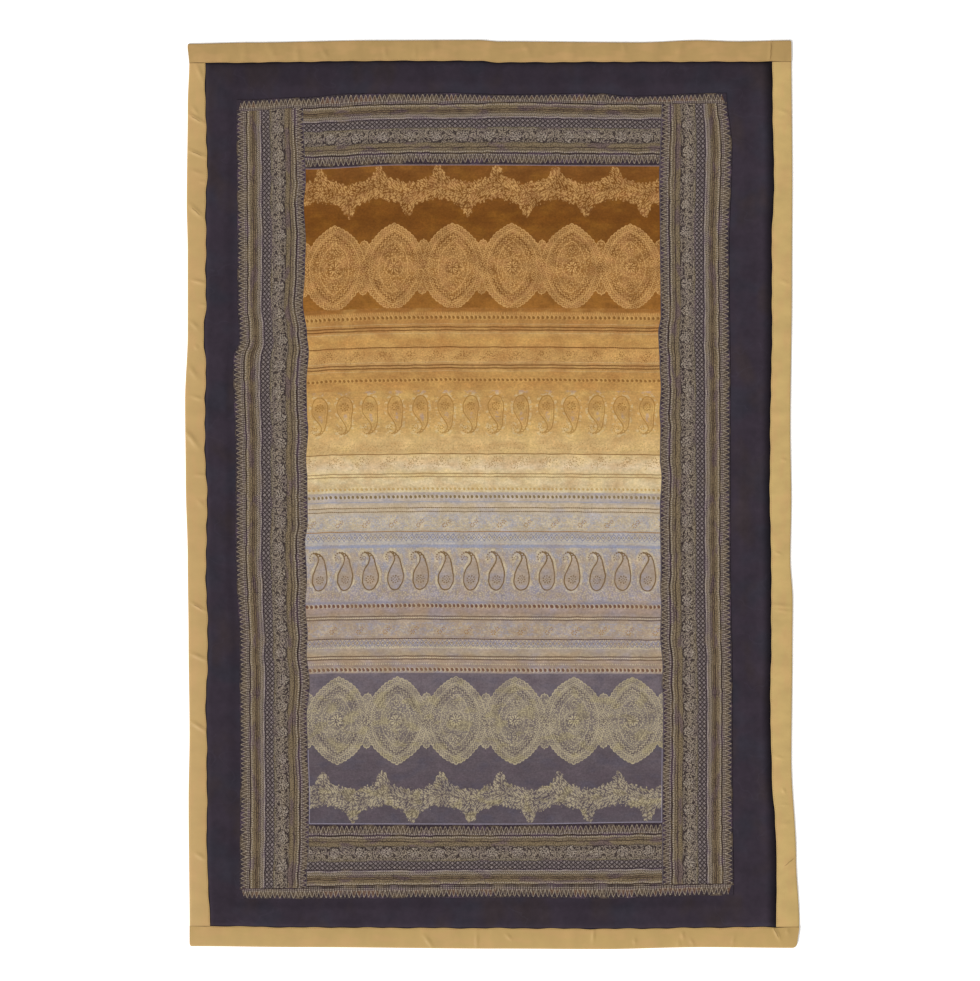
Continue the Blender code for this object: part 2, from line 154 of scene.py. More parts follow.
heights = {
    "sewn gap": 0.3,
    "satin": 1.2,
    "pressed edge foot": 1.5,
    "pressed edge top": 3.5,
    "binding top": 5.0,
    "binding crown": 0.7,
    "frame crown": 8.6,
    "frame unevenness": 0.5,
    "print seat": 5.0,
    "print foot": 5.3,
    "print cloth": 1.2,
    "print unevenness": 0.5,
    "thread": 0.1,  # how far a thread's middle lies above its cloth
}
paddedFrame = {  # breadths across the padded frame, from the binding inwards
    "in the fold": 5,
    "groove": 1.5,
    "rims": (11, 26, 12, 18),  # left, right, foot, head
    "rolls": (0.2, 2.2, 0.2, 0.8),  # how far each rim stands above the rest
    "crown to print": 24,
    "seat margin": 3,
    "tooth margin": 2.5,
    "pucker": 0.4,
    "pucker reach": 15,
    "pressed rim": 5,  # over which the underside comes down inside the binding
}

# Creases of the printed cloth: across, up, length along it, breadth of its flank, turn from level
# in degrees, rise
printCreases = (
    (-505, 345, 170, 26, 12, 1.1),
    (-500, -590, 150, 30, -8, 0.9),
    (480, 640, 190, 34, 24, 0.8),
    (470, -330, 180, 38, -20, 0.9),
    (312, 890, 90, 12, 84, 1.1),
    (-14, 880, 110, 14, 80, 1.0),
    (-240, 420, 520, 60, 5, 0.8),
    (150, 90, 620, 70, -4, 0.7),
    (-90, -330, 560, 65, 6, 0.8),
    (120, -640, 480, 55, -7, 0.7),
)

# Slow swells of the cloth: how fast each turns across and up the throw, and where it starts
groundSwells = ((0.0071, 0.0023, 0), (-0.0031, 0.0097, 1.2))
printSwells = ((0.0063, 0.0019, 0.4), (-0.0022, 0.0052, 0))

puckerWaves = ((1, 3.7, 0), (1, 5.1, 1.3), (1.4, 8.9, 0.4))  # rise, length, start


def smooth(value, start, end):
    share = np.clip((value - start) / (end - start), 0, 1)
    return share * share * (3 - 2 * share)


def creaseRise(crease, x, y):
    across, up, length, breadth, turn, rise = crease
    turn = math.radians(turn)
    east, north = x - across, y - up
    along = east * math.cos(turn) + north * math.sin(turn)
    aside = north * math.cos(turn) - east * math.sin(turn)
    return rise * np.exp(-((2 * along / length) ** 2) - (aside / breadth) ** 2)


def puckers(along):  # small uneven ripples along a seam
    return sum(rise * np.sin(along / length + start) for rise, length, start in puckerWaves) / 3.4


def swell(waves, x, y):
    return sum(np.sin(across * x + up * y + start) for across, up, start in waves) / len(waves)


# The seat that the print lies in
seatLeft = leftTeeth - paddedFrame["tooth margin"] - paddedFrame["seat margin"]
seatRight = rightTeeth + paddedFrame["tooth margin"] + paddedFrame["seat margin"]
seatFoot = level("foot teeth") - paddedFrame["tooth margin"] - paddedFrame["seat margin"]
seatHead = level("head teeth") + paddedFrame["tooth margin"] + paddedFrame["seat margin"]


def pastBinding(x, y):  # how far a place lies inside each binding's seam
    return (
        (x - upright("left binding"), y), (upright("right binding") - x, y),
        (y - level("foot binding"), x), (level("head binding") - y, x))


def groundTop(x, y):
    raised = 1
    ripple = 0
    roll = 0
    for (inside, along), rim, rise in zip(pastBinding(x, y), paddedFrame["rims"], paddedFrame["rolls"]):
        start = paddedFrame["groove"]
        left = np.clip(1 - (inside - start) / rim, 0, 1)  # a rounded rim, steep beside the seam
        raised = raised * np.sqrt(1 - left ** 2)
        roll = roll + rise * np.exp(-((inside - rim * 0.6) / (rim * 0.5)) ** 2)
        ripple = ripple + puckers(along) * np.exp(-(inside / paddedFrame["pucker reach"]) ** 2)
    crown = paddedFrame["crown to print"]
    pressed = (
        smooth(x, seatLeft - crown, seatLeft) * smooth(-x, -seatRight - crown, -seatRight)
        * smooth(y, seatFoot - crown, seatFoot) * smooth(-y, -seatHead - crown, -seatHead))
    full = heights["frame crown"] + heights["frame unevenness"] * swell(groundSwells, x, y) + roll
    low = heights["pressed edge top"]
    openFrame = low + (full - low) * raised + paddedFrame["pucker"] * ripple * raised
    return openFrame * (1 - pressed) + heights["print seat"] * pressed


def groundFoot(x, y):
    lift = 0
    for inside, along in pastBinding(x, y):
        lift = np.maximum(lift, smooth(paddedFrame["groove"] - inside, -paddedFrame["pressed rim"], 0))
    return heights["pressed edge foot"] * lift


def printTop(x, y):
    rise = sum(creaseRise(crease, x, y) for crease in printCreases)
    uneven = heights["print unevenness"] * (1 + swell(printSwells, x, y)) / 2
    return heights["print foot"] + heights["print cloth"] + uneven + rise


def printFoot(x, y):
    return np.full(x.shape, float(heights["print foot"]))


# Meshes

sharpFrom = math.radians(50)


def spread(low, high, step):
    return list(np.linspace(low, high, max(int(round((high - low) / step)), 1) + 1))


def placed(name, data):
    piece = bpy.data.objects.new(name, data)
    bpy.context.scene.collection.objects.link(piece)
    return piece


def clothMesh(name, corners, faces, uvs):
    mesh = bpy.data.meshes.new(name)
    mesh.from_pydata(corners, [], faces)
    layer = mesh.uv_layers.new(name="flat")
    order = np.empty(len(mesh.loops), np.int32)
    mesh.loops.foreach_get("vertex_index", order)
    layer.data.foreach_set("uv", (np.asarray(uvs, np.float32)[order]).ravel())
    mesh.validate()
    mesh.shade_smooth()
    mesh.set_sharp_from_angle(angle=sharpFrom)
    return placed(name, mesh)


def gridFaces(rows, columns, start, turned):
    first = start + (np.arange(rows - 1)[:, None] * columns + np.arange(columns - 1)[None, :]).ravel()
    quads = np.stack((first, first + 1, first + columns + 1, first + columns), 1)
    return quads[:, ::-1] if turned else quads


def sheetOnGrid(name, columns, rows, top, foot, flatPlace):
    # A thin closed sheet with its face and underside on one grid of the layout
    x, y = np.meshgrid(np.array(columns, float), np.array(rows, float))
    realX, realY = laid(x, y)
    sides = [np.stack((realX, realY, side(x, y)), -1).reshape(-1, 3) for side in (top, foot)]
    width, count = len(columns), x.size
    quads = [gridFaces(len(rows), width, 0, False), gridFaces(len(rows), width, count, True)]
    index = np.arange(count).reshape(x.shape)
    rim = np.concatenate((index[0, :-1], index[:-1, -1], index[-1, :0:-1], index[:0:-1, 0]))
    ahead = np.roll(rim, -1)
    quads.append(np.stack((rim + count, ahead + count, ahead, rim), 1))
    flat = np.stack(flatPlace(x, y), -1).reshape(-1, 2) * mm
    return clothMesh(
        name, np.concatenate(sides) * mm, np.concatenate(quads).tolist(), np.concatenate((flat, flat)))


# The padded ground

groundCloth = {
    "frame step": 5,
    "hidden step": 14,
    "frame breadth": 112,
    "past the seam": (-1.5, 1.5, 1.9, 2.6, 3.8, 5.5, 7.5, 10, 13),
    "least step": 1.6,
}


def makeGround():
    def stations(low, high, seams):
        breadth = groundCloth["frame breadth"]
        frameStep, hiddenStep = groundCloth["frame step"], groundCloth["hidden step"]
        leastStep = groundCloth["least step"]
        close = [seams[0] + past for past in groundCloth["past the seam"]]
        close += [seams[1] - past for past in groundCloth["past the seam"]]
        even = (
            spread(low, low + breadth, frameStep)
            + spread(low + breadth, high - breadth, hiddenStep)[1:-1]
            + spread(high - breadth, high, frameStep))
        bare = [place for place in even if min(abs(place - spot) for spot in close) > leastStep]
        return sorted(bare + close)
    tuck = paddedFrame["in the fold"]
    columns = stations(
        upright("left edge") + tuck, upright("right edge") - tuck,
        (upright("left binding"), upright("right binding")))
    rows = stations(
        level("foot edge") + tuck, level("head edge") - tuck,
        (level("foot binding"), level("head binding")))
    return sheetOnGrid("ground_cloth", columns, rows, groundTop, groundFoot, lambda x, y: (x, y))


# The printed cloths

printCloth = {
    "panel step": 6.3,
    "strip step": 6,
    "foot teeth squeeze": 0.86,  # the foot edging is wider, and its print is drawn out to fill it
}


def makePrints():
    gap = heights["sewn gap"] / 2
    margin = paddedFrame["tooth margin"]
    left = (leftTeeth - margin, leftSeam - gap)
    between = (leftSeam + gap, rightSeam - gap)
    right = (rightSeam + gap, rightTeeth + margin)
    whole = (left[0], right[1])
    footTeeth = (level("foot teeth") - margin, level("foot edging") - gap)
    footStrip = (level("foot edging") + gap, level("panel foot") - gap)
    panel = (level("panel foot") + gap, level("panel head") - gap)
    headStrip = (level("panel head") + gap, level("head edging") - gap)
    headTeeth = (level("head edging") + gap, level("head teeth") + margin)
    strip = (footStrip[0], headStrip[1])
    fine, coarse = printCloth["strip step"], printCloth["panel step"]
    squeeze = printCloth["foot teeth squeeze"]
    # a strip's flat place is how far along it runs and how far in from the points of its teeth
    cloths = (
        ("panel_cloth", between, panel, coarse, lambda x, y: (x, y)),
        ("border_cloth_left", left, strip, fine, lambda x, y: (y, x - leftTeeth)),
        ("border_cloth_right", right, strip, fine, lambda x, y: (y, rightTeeth - x)),
        ("border_cloth_head", between, headStrip, fine, lambda x, y: (x, level("head teeth") - y)),
        ("border_cloth_foot", between, footStrip, fine, lambda x, y: (x, y + level("head teeth"))),
        ("edging_cloth_head", whole, headTeeth, fine, lambda x, y: (x, level("head teeth") - y)),
        ("edging_cloth_foot", whole, footTeeth, fine, lambda x, y: (x, (y - level("foot teeth")) * squeeze)),
    )
    return {
        name: sheetOnGrid(
            name, spread(*across, step), panelRows() if name == "panel_cloth" else spread(*up, step),
            printTop, printFoot, flatPlace)
        for name, across, up, step, flatPlace in cloths}


# The satin binding

bindingCut = {
    "step": 3,
    "across step": 3,
    "fold round": 2.5,
    "corner rounds": {"head": (3, 4), "foot": (5, 11)},
    "wander": {"left": 1.0, "right": 0.5, "head": 0.5, "foot": 0.7},
    "wrinkle height": 1.2,
    "fullness": 0.8,  # lower makes the puffed top flatter and its sides steeper
    "pucker": 0.3,
    "pucker reach": 7,
    "stray": 0.6,  # for the wanderings of the sewn edge
    "corner stations": (1, 2.5, 4, 8, 10),
    "fold stations": 9,
}

# Wrinkles of each strip: place along it, place in from the fold, length, breadth, turn, rise
bindingWrinkles = {
    "left": (
        (982, 28, 36, 5.0, -29, 1.2), (904, 18, 20, 4.0, -37, 1.0), (885, 20, 42, 4.2, -58, 1.7),
        (799, 21, 42, 4.0, -63, 1.6), (753, 21, 22, 4.0, -69, 0.8), (731, 34, 13, 3.0, -85, 0.8),
        (664, 21, 40, 5.2, -45, 1.7), (500, 26, 33, 3.8, -76, 1.5), (446, 35, 13, 3.0, -85, 0.8),
        (399, 18, 26, 4.5, -49, 1.2), (348, 23, 14, 4.0, -43, 0.8), (290, 15, 36, 6.0, -32, 1.3),
        (229, 26, 25, 4.0, -71, 1.1), (133, 14, 46, 5.6, -34, 1.8), (48, 31, 23, 3.2, -88, 1.0),
        (-19, 30, 19, 4.5, -35, 0.8), (-259, 23, 37, 2.8, -58, 1.5), (-375, 23, 39, 4.0, -65, 1.4),
        (-536, 23, 40, 4.2, -58, 1.4), (-834, 27, 27, 4.4, -56, 1.1),
    ),
    "right": (
        (884, 23, 30, 4.5, 72, 0.8), (493, 18, 26, 4.5, 70, 0.8), (80, 16, 13, 3.2, 80, 1.0),
        (-136, 31, 17, 3.0, 75, 1.1), (-257, 24, 35, 3.6, 86, 1.1), (-268, 22, 30, 3.4, 84, 0.9),
        (-610, 31, 17, 3.4, 80, 1.0), (-688, 21, 11, 3.2, 20, 1.2), (-721, 20, 22, 3.4, 88, 0.7),
        (-765, 20, 21, 4.0, -60, 0.8), (-855, 18, 37, 4.0, -51, 1.5),
    ),
    "head": (
        (-567, 24, 50, 9.0, 96, 0.8), (-499, 24, 50, 9.0, 70, 0.9), (-440, 26, 52, 8.0, 84, 1.0),
        (-377, 30, 24, 6.0, 60, 0.9), (-238, 28, 26, 5.0, 82, 0.8), (-169, 30, 26, 5.0, 94, 0.8),
        (-125, 20, 40, 7.0, 86, 0.7), (86, 18, 34, 7.0, 58, 0.8), (310, 14, 22, 5.0, 84, 0.8),
        (440, 26, 48, 7.0, 104, 0.8), (648, 24, 60, 2.6, 94, 1.3),
    ),
    "foot": (
        (-145, 17, 33, 4.0, -55, 1.2), (-33, 20, 37, 3.6, 90, 1.1), (41, 28, 19, 3.4, -45, 1.1),
        (237, 33, 31, 3.4, 86, 1.5), (333, 18, 15, 3.2, -85, 1.1), (433, 10, 17, 4.0, 84, 0.8),
        (442, 30, 21, 3.4, -80, 1.2), (463, 13, 17, 3.2, -65, 1.1), (556, 17, 25, 4.0, 80, 0.9),
        (653, 35, 33, 2.8, -64, 1.8), (676, 38, 15, 3.4, -80, 1.1),
    ),
}


def bindingSection(width):
    # (in from the fold, height) round the folded strip, the outside and then the inside
    satin, top = heights["satin"], heights["binding top"]
    bend = bindingCut["fold round"]
    fine = spread(bend, width, bindingCut["across step"])
    coarse = spread(width, bend, width / 3)
    turns = np.linspace(0, math.pi, bindingCut["fold stations"])[1:-1]
    outer = [(inset, 0.0) for inset in coarse]
    outer += [(bend - bend * math.sin(turn), top / 2 - top / 2 * math.cos(turn)) for turn in turns]
    outer += [(inset, top) for inset in fine]
    core = top / 2 - satin
    inner = [(inset, top - satin) for inset in coarse]
    inner += [
        (bend - (bend - satin) * math.sin(turn), top / 2 + core * math.cos(turn))
        for turn in turns[::2]]
    inner += [(inset, satin) for inset in reversed(coarse)]
    return np.array(outer), np.array(inner)


def cornerCut(name, place, ends):
    cut = 0.0
    for radius, end in zip(bindingCut["corner rounds"].get(name, ()), ends):
        past = radius - abs(end - place)
        if past > 0:
            cut = max(cut, radius - math.sqrt(radius ** 2 - past ** 2))
    return cut


def satinRise(name, along, inset, width):
    share = np.clip(inset / width, 0, 1)
    rise = heights["binding crown"] * np.sin(math.pi * share) ** bindingCut["fullness"]
    for *place, lift in bindingWrinkles[name]:
        rise = rise + creaseRise((*place, lift * bindingCut["wrinkle height"]), along, inset)
    beside = np.exp(-((width - inset) / bindingCut["pucker reach"]) ** 2)
    return rise + bindingCut["pucker"] * puckers(along) * beside


def satinWander(name, along):  # how far the sewn edge strays between its stitches
    ripple = np.sin(along / 9.7) + 1.3 * np.sin(along / 23.1 + 1) + 1.6 * np.abs(np.sin(along / 19 + 0.5)) - 1
    return bindingCut["wander"][name] * ripple * bindingCut["stray"]


bindingStrips = {"left": True, "right": True, "head": False, "foot": False}  # whether it runs up the throw


def stripLines(name):  # where a strip's fold and seam lie, and which way is inwards
    lines = uprightLines if bindingStrips[name] else levelLines
    fold, seam = lines[name + " edge"][0], lines[name + " binding"][0]
    return fold, seam, 1 if seam > fold else -1


def makeBinding(name, ends):
    runsUp = bindingStrips[name]
    fold, seam, inward = stripLines(name)
    width = abs(seam - fold)
    outer, inner = bindingSection(width)
    section = np.concatenate((outer, inner))
    onTop = section[:, 1] > heights["binding top"] / 2
    stations = np.array(spread(*ends, bindingCut["step"]))
    if name in bindingCut["corner rounds"]:
        turns = bindingCut["corner stations"]
        extra = [ends[0] + turn for turn in turns] + [ends[1] - turn for turn in turns]
        stations = np.array(sorted(set(np.round(np.concatenate((stations, extra)), 3))))
    corners = []
    flat = []
    for place in stations:
        cut = cornerCut(name, place, ends)
        strays = satinWander(name, place) * (section[:, 0] / width) ** 3
        inset = cut + section[:, 0] * (width - cut) / width + strays * onTop
        along = np.full(len(section), place)
        across = fold + inward * inset
        x, y = laid(across, along) if runsUp else laid(along, across)
        lift = satinRise(name, along, section[:, 0], width) * onTop
        corners.append(np.stack((x, y, section[:, 1] + lift), 1))
        flat.append(np.stack((along, np.where(onTop, inset, -inset)), 1))
    count = len(section)
    faces = []
    for ring in range(len(stations) - 1):
        start = ring * count
        for corner in range(count):
            following = (corner + 1) % count
            ahead = start + count
            faces.append((start + corner, start + following, ahead + following, ahead + corner))
    faces.append(tuple(range(count)))
    faces.append(tuple(reversed(range((len(stations) - 1) * count, len(stations) * count))))
    return clothMesh("binding_satin_" + name, np.concatenate(corners) * mm, faces, np.concatenate(flat) * mm)


def makeBindings():
    gap = heights["sewn gap"]
    whole = (upright("left edge"), upright("right edge"))
    between = (level("foot binding") + gap, level("head binding") - gap)
    return {name: makeBinding(name, between if runsUp else whole) for name, runsUp in bindingStrips.items()}


# Inks and printing. A print is built up from fields, values that change over the cloth.

class Field:
    def __init__(self, socket):
        self.socket = socket

    def math(self, operation, *others):
        node = self.socket.id_data.nodes.new("ShaderNodeMath")
        node.operation = operation
        for inlet, value in zip(node.inputs, (self, *others)):
            feed(inlet, value)
        return Field(node.outputs[0])

    def __add__(self, other):
        return self.math("ADD", other)

    def __sub__(self, other):
        return self.math("SUBTRACT", other)

    def __mul__(self, other):
        return self.math("MULTIPLY", other)

    def __truediv__(self, other):
        return self.math("DIVIDE", other)

    def __abs__(self):
        return self.math("ABSOLUTE")

    __and__ = __mul__

    def __or__(self, other):
        return self.math("MAXIMUM", other)

    def squared(self):
        return self.math("MULTIPLY", self)

    def below(self, limit):
        return self.math("LESS_THAN", limit)

    def above(self, limit):
        return self.math("GREATER_THAN", limit)

    def near(self, place, reach):
        return self.math("COMPARE", place, reach)

    def within(self, low, high):
        return self.near((low + high) / 2, (high - low) / 2)

    def local(self, pitch):  # the place inside a repeat, from its middle
        return self.math("WRAP", pitch / 2, -pitch / 2)

    def toAndFro(self, pitch):
        return self.math("PINGPONG", pitch / 2)

    def wave(self, length):
        return (self * (2 * math.pi / length)).math("SINE")

    def smooth(self, start, end):
        node = self.socket.id_data.nodes.new("ShaderNodeMapRange")
        node.interpolation_type = "SMOOTHSTEP"
        feedAll(node, {"Value": self, "From Min": start, "From Max": end})
        return Field(node.outputs[0])


def feed(inlet, value):
    if isinstance(value, Field):
        value = value.socket
    if isinstance(value, bpy.types.NodeSocket):
        inlet.id_data.links.new(value, inlet)
    else:
        inlet.default_value = value


def feedAll(node, values):
    for name, value in values.items():
        feed(node.inputs[name], value)


def dye(red, green, blue):  # a colour as it shows, from 0 to 255, made linear
    shares = [value / 255 for value in (red, green, blue)]
    return tuple(s / 12.92 if s <= 0.04045 else ((s + 0.055) / 1.055) ** 2.4 for s in shares) + (1.0,)


def joined(u, v):
    node = u.socket.id_data.nodes.new("ShaderNodeCombineXYZ")
    feed(node.inputs[0], u)
    feed(node.inputs[1], v)
    return node.outputs[0]


def cloud(u, v, sizeU, sizeV, detail=1.0):  # soft noise, mostly between 0.3 and 0.7
    node = u.socket.id_data.nodes.new("ShaderNodeTexNoise")
    node.noise_dimensions = "2D"
    feedAll(node, {"Vector": joined(u / sizeU, v / sizeV), "Scale": 1, "Detail": detail})
    return Field(node.outputs[0])


def flecks(u, v, sizeU, sizeV):  # how far a place is from the middle of its cell, of scattered cells
    node = u.socket.id_data.nodes.new("ShaderNodeTexVoronoi")
    node.voronoi_dimensions = "2D"
    node.feature = "F1"
    feedAll(node, {"Vector": joined(u / sizeU, v / sizeV), "Scale": 1})
    return Field(node.outputs["Distance"])


def reach(u, v):
    node = u.socket.id_data.nodes.new("ShaderNodeVectorMath")
    node.operation = "LENGTH"
    feed(node.inputs[0], joined(u, v))
    return Field(node.outputs["Value"])


def paint(under, ink, share):  # lays an ink over what is there
    node = share.socket.id_data.nodes.new("ShaderNodeMix")
    node.data_type = "RGBA"
    feed(node.inputs[0], share)
    feed(node.inputs[6], under)
    feed(node.inputs[7], ink)
    return node.outputs[2]


def bands(place, rows):
    # Ground colours by place, as (mm, colour) rows from low to high
    low, high = rows[0][0], rows[-1][0]
    node = place.socket.id_data.nodes.new("ShaderNodeValToRGB")
    feed(node.inputs[0], (place - low) / (high - low))
    stops = node.color_ramp.elements
    for index, (at, colour) in enumerate(rows):
        share = (at - low) / (high - low)
        if index < 2:
            stops[index].position = share
            stop = stops[index]
        else:
            stop = stops.new(share)
        stop.color = dye(*colour)
    return node.outputs[0]


def lighter(under, share, amount):
    # Brightens where the share is over a half and darkens where it is under
    node = share.socket.id_data.nodes.new("ShaderNodeHueSaturation")
    feed(node.inputs["Value"], share * amount + (1 - amount / 2))
    feed(node.inputs["Color"], under)
    return node.outputs[0]


class Cloth:  # a material that is dyed layer by layer
    def __init__(self, name, inks):
        self.inks = inks
        self.material = bpy.data.materials.new(name)
        self.material.use_nodes = True
        tree = self.material.node_tree
        layout = tree.nodes.new("ShaderNodeUVMap")
        layout.uv_map = "flat"
        scaled = tree.nodes.new("ShaderNodeVectorMath")
        scaled.operation = "SCALE"
        scaled.inputs["Scale"].default_value = 1 / mm
        feed(scaled.inputs[0], layout.outputs[0])
        apart = tree.nodes.new("ShaderNodeSeparateXYZ")
        feed(apart.inputs[0], scaled.outputs[0])
        self.place = Field(apart.outputs["X"]), Field(apart.outputs["Y"])  # on the flat cloth, in mm

    def start(self, ink):
        self.colour = dye(*self.inks[ink])

    def lay(self, ink, share):
        self.colour = paint(self.colour, dye(*self.inks[ink]), share)

    def mottle(self, share, amount):
        self.colour = lighter(self.colour, share, amount)

    def finish(self, look):
        u, v = self.place
        tree = self.material.node_tree
        shader = tree.nodes["Principled BSDF"]
        threads = look["threads"]
        weave = u.wave(threads) * v.wave(threads)
        self.mottle(weave * 0.5 + 0.5, look["thread contrast"])
        feed(shader.inputs["Base Color"], self.colour)
        broadCloud = cloud(u, v, 70, 70)
        feed(shader.inputs["Roughness"], broadCloud * 0.16 + (look["roughness"] - 0.08))
        feedAll(shader, {
            "Sheen Weight": look["sheen"], "Sheen Roughness": 0.4, "Specular IOR Level": look["gloss"]})
        bump = tree.nodes.new("ShaderNodeBump")
        feedAll(bump, {"Strength": look["relief"], "Distance": threads * mm / 4, "Height": weave})
        feed(shader.inputs["Normal"], bump.outputs[0])
        return self.material


# Printed motifs, each a field that is 1 where its ink lies

def dotRow(u, v, at, pitch, across, up):
    return ((u.local(pitch) / across).squared() + ((v - at) / up).squared()).below(1)


dropRow = {"pitch": 10.3, "lean": 0.16, "edge shift": 1.6, "edge": (1.4, 1.2), "edge strength": 0.34}
spunTwist = 4.8


def drops(u, v, cloth, at, across, up, drop, edge, strength):  # a row of slanting drops with light edges
    pitch = dropRow["pitch"]
    moreAcross, moreUp = dropRow["edge"]
    lean = u + (v - at) * dropRow["lean"]
    lit = dotRow(lean - dropRow["edge shift"], v, at, pitch, across + moreAcross, up + moreUp)
    cloth.lay(edge, lit * dropRow["edge strength"])
    cloth.lay(drop, dotRow(lean, v, at, pitch, across, up) * strength)


def ropePair(u, v, at, apart=7, thick=3.0, twist=5.2):
    lines = abs(v - at).near(apart / 2, thick / 2)
    return lines & ((u + (v - at) * 2).wave(twist) * 0.34 + 0.66)


def plainLine(v, at, thick):
    return v.near(at, thick / 2)


def spunLine(u, v, at, thick, depth, body):  # a line that looks twisted
    return plainLine(v, at, thick) & (u.wave(spunTwist) * depth + body)


def seeded(u, v, low, high, size, limit, strength):  # a band of small seeds
    return v.within(low, high) & flecks(u, v, size, size).below(limit) * strength


def ringFlower(u, v, radius, petals, breadth):
    around = v.math("ARCTAN2", u) * petals
    return reach(u, v).near(radius, radius * breadth) & around.math("COSINE").above(-0.1)


def petalFlower(u, v, radius, petals, depth):
    around = (v.math("ARCTAN2", u) * petals).math("COSINE")
    return (reach(u, v) - around * (radius * depth / 2)).below(radius * (1 - depth / 2))


def rays(u, v, low, high, count):  # strokes that fan out from a middle
    around = v.math("ARCTAN2", u) * count
    return reach(u, v).within(low, high) & around.math("COSINE").above(0.15)


def diamonds(u, v, at, pitch, along, across):
    return (abs(u.local(pitch)) / along + abs(v - at) / across).below(1)


def sprigRow(u, v, at, pitch):
    here = u.local(pitch)
    flower = ringFlower(here, v - (at + 6), 4.8, 6, 0.34)
    bud = ringFlower(here + 11, v - (at - 5), 3.0, 5, 0.4)
    trail = abs(v - at - here * 0.3 + 2).below(10) & here.within(-pitch * 0.42, pitch * 0.34)
    seeds = flecks(u, v, 6.2, 6.2).below(0.2)
    return flower | bud | (trail & seeds)


def zigzag(u, v, at, height, pitch, thick):
    rise = u.toAndFro(pitch) * (2 * height / pitch) - height / 2
    return (v - at - rise).near(0, thick / 2)


def crossings(u, v, at, height, pitch, thick):
    return zigzag(u, v, at, height, pitch, thick) | zigzag(u + pitch / 2, v, at, height, pitch, thick)


# A paisley drop as a chain of soft discs: across and up from the foot of its belly, radius
paisleyDiscs = (
    (0, 15, 13.5),
    (0, 24, 17.5),
    (0.5, 34, 17.5),
    (2, 44, 14.5),
    (4, 53, 11.2),
    (5.5, 62, 8.2),
    (6, 70, 6.0),
    (4.5, 77.5, 4.3),
    (1, 83.5, 3.0),
    (-4, 87.5, 1.8),
    (-10, 89, 0.8),
    (-15, 87, 0.3),
    (-19, 83, 0.1),
    (-20.5, 77.5, 0.1),
    (-19, 72, 0.1),
)


def paisley(here, up):  # how far outside the drop's rim
    place = joined(here, up)
    rim = None
    for across, height, radius in paisleyDiscs:
        node = place.id_data.nodes.new("ShaderNodeVectorMath")
        node.operation = "DISTANCE"
        feed(node.inputs[0], place)
        node.inputs[1].default_value = (across, height, 0)
        disc = Field(node.outputs["Value"]) - radius
        rim = disc if rim is None else rim.math("SMOOTH_MIN", disc, 4.0)
    return rim


def toothRow(u, place, base, tip, pitch, line):
    # (outline, inside) of pointed loops that stand on the base and reach the tip
    share = (place - tip) / (base - tip)
    half = share.math("MAXIMUM", 0.0).math("POWER", 0.74) * (pitch * 0.48)
    here = abs(u.local(pitch))
    inside = here.below(half) & share.within(0, 1)
    return here.near(half, line / 2) & share.within(-0.03, 1), inside


# The panel's print

panelInks = {
    "brown": (116, 74, 26),
    "rope": (78, 36, 0),
    "dusk rope": (66, 38, 26),
    "outline": (146, 104, 44),
    "dusk outline": (106, 78, 32),
    "olive dot": (112, 88, 44),
    "red dot": (98, 58, 42),
    "lilac": (158, 150, 164),
    "blue": (142, 146, 168),
    "net": (122, 120, 142),
    "cream": (216, 200, 160),
    "tan": (184, 150, 92),
    "lace": (204, 158, 98),
    "gold light": (214, 172, 104),
    "lace shade": (112, 68, 24),
    "lace tint": (178, 124, 80),
    "dusk lace tint": (160, 146, 88),
    "seam": (168, 160, 178),
    "dusk lace": (182, 168, 138),
    "dusk lace shade": (84, 72, 74),
}


def headField(u, v, cloth):
    laceField(u, v, cloth, 526, 702, "lace", "lace shade")


def footField(u, v, cloth):
    laceField(u, v, cloth, -524, -700, "dusk lace", "dusk lace shade")


# The lace row and its vine, in mm
laceRow = {
    "repeats": 6,
    "almond": (72, 102),  # half breadth and half height
    "small almond": (34, 66),
    "scallop": 10.5,
    "scallop depth": 2.2,
    "grain": 5.0,
    "vine sway": 8,
    "vine half": 32,
    "vine spray": 24,
}


def almond(here, up, halfWidth, halfHeight):
    # (how far in from its rim, how far along its rim) of a pointed form between two arcs
    setback = (halfHeight ** 2 - halfWidth ** 2) / (2 * halfWidth)
    radius = halfWidth + setback
    out = abs(here) + setback
    return reach(out, up) * -1 + radius, up.math("ARCTAN2", out) * radius


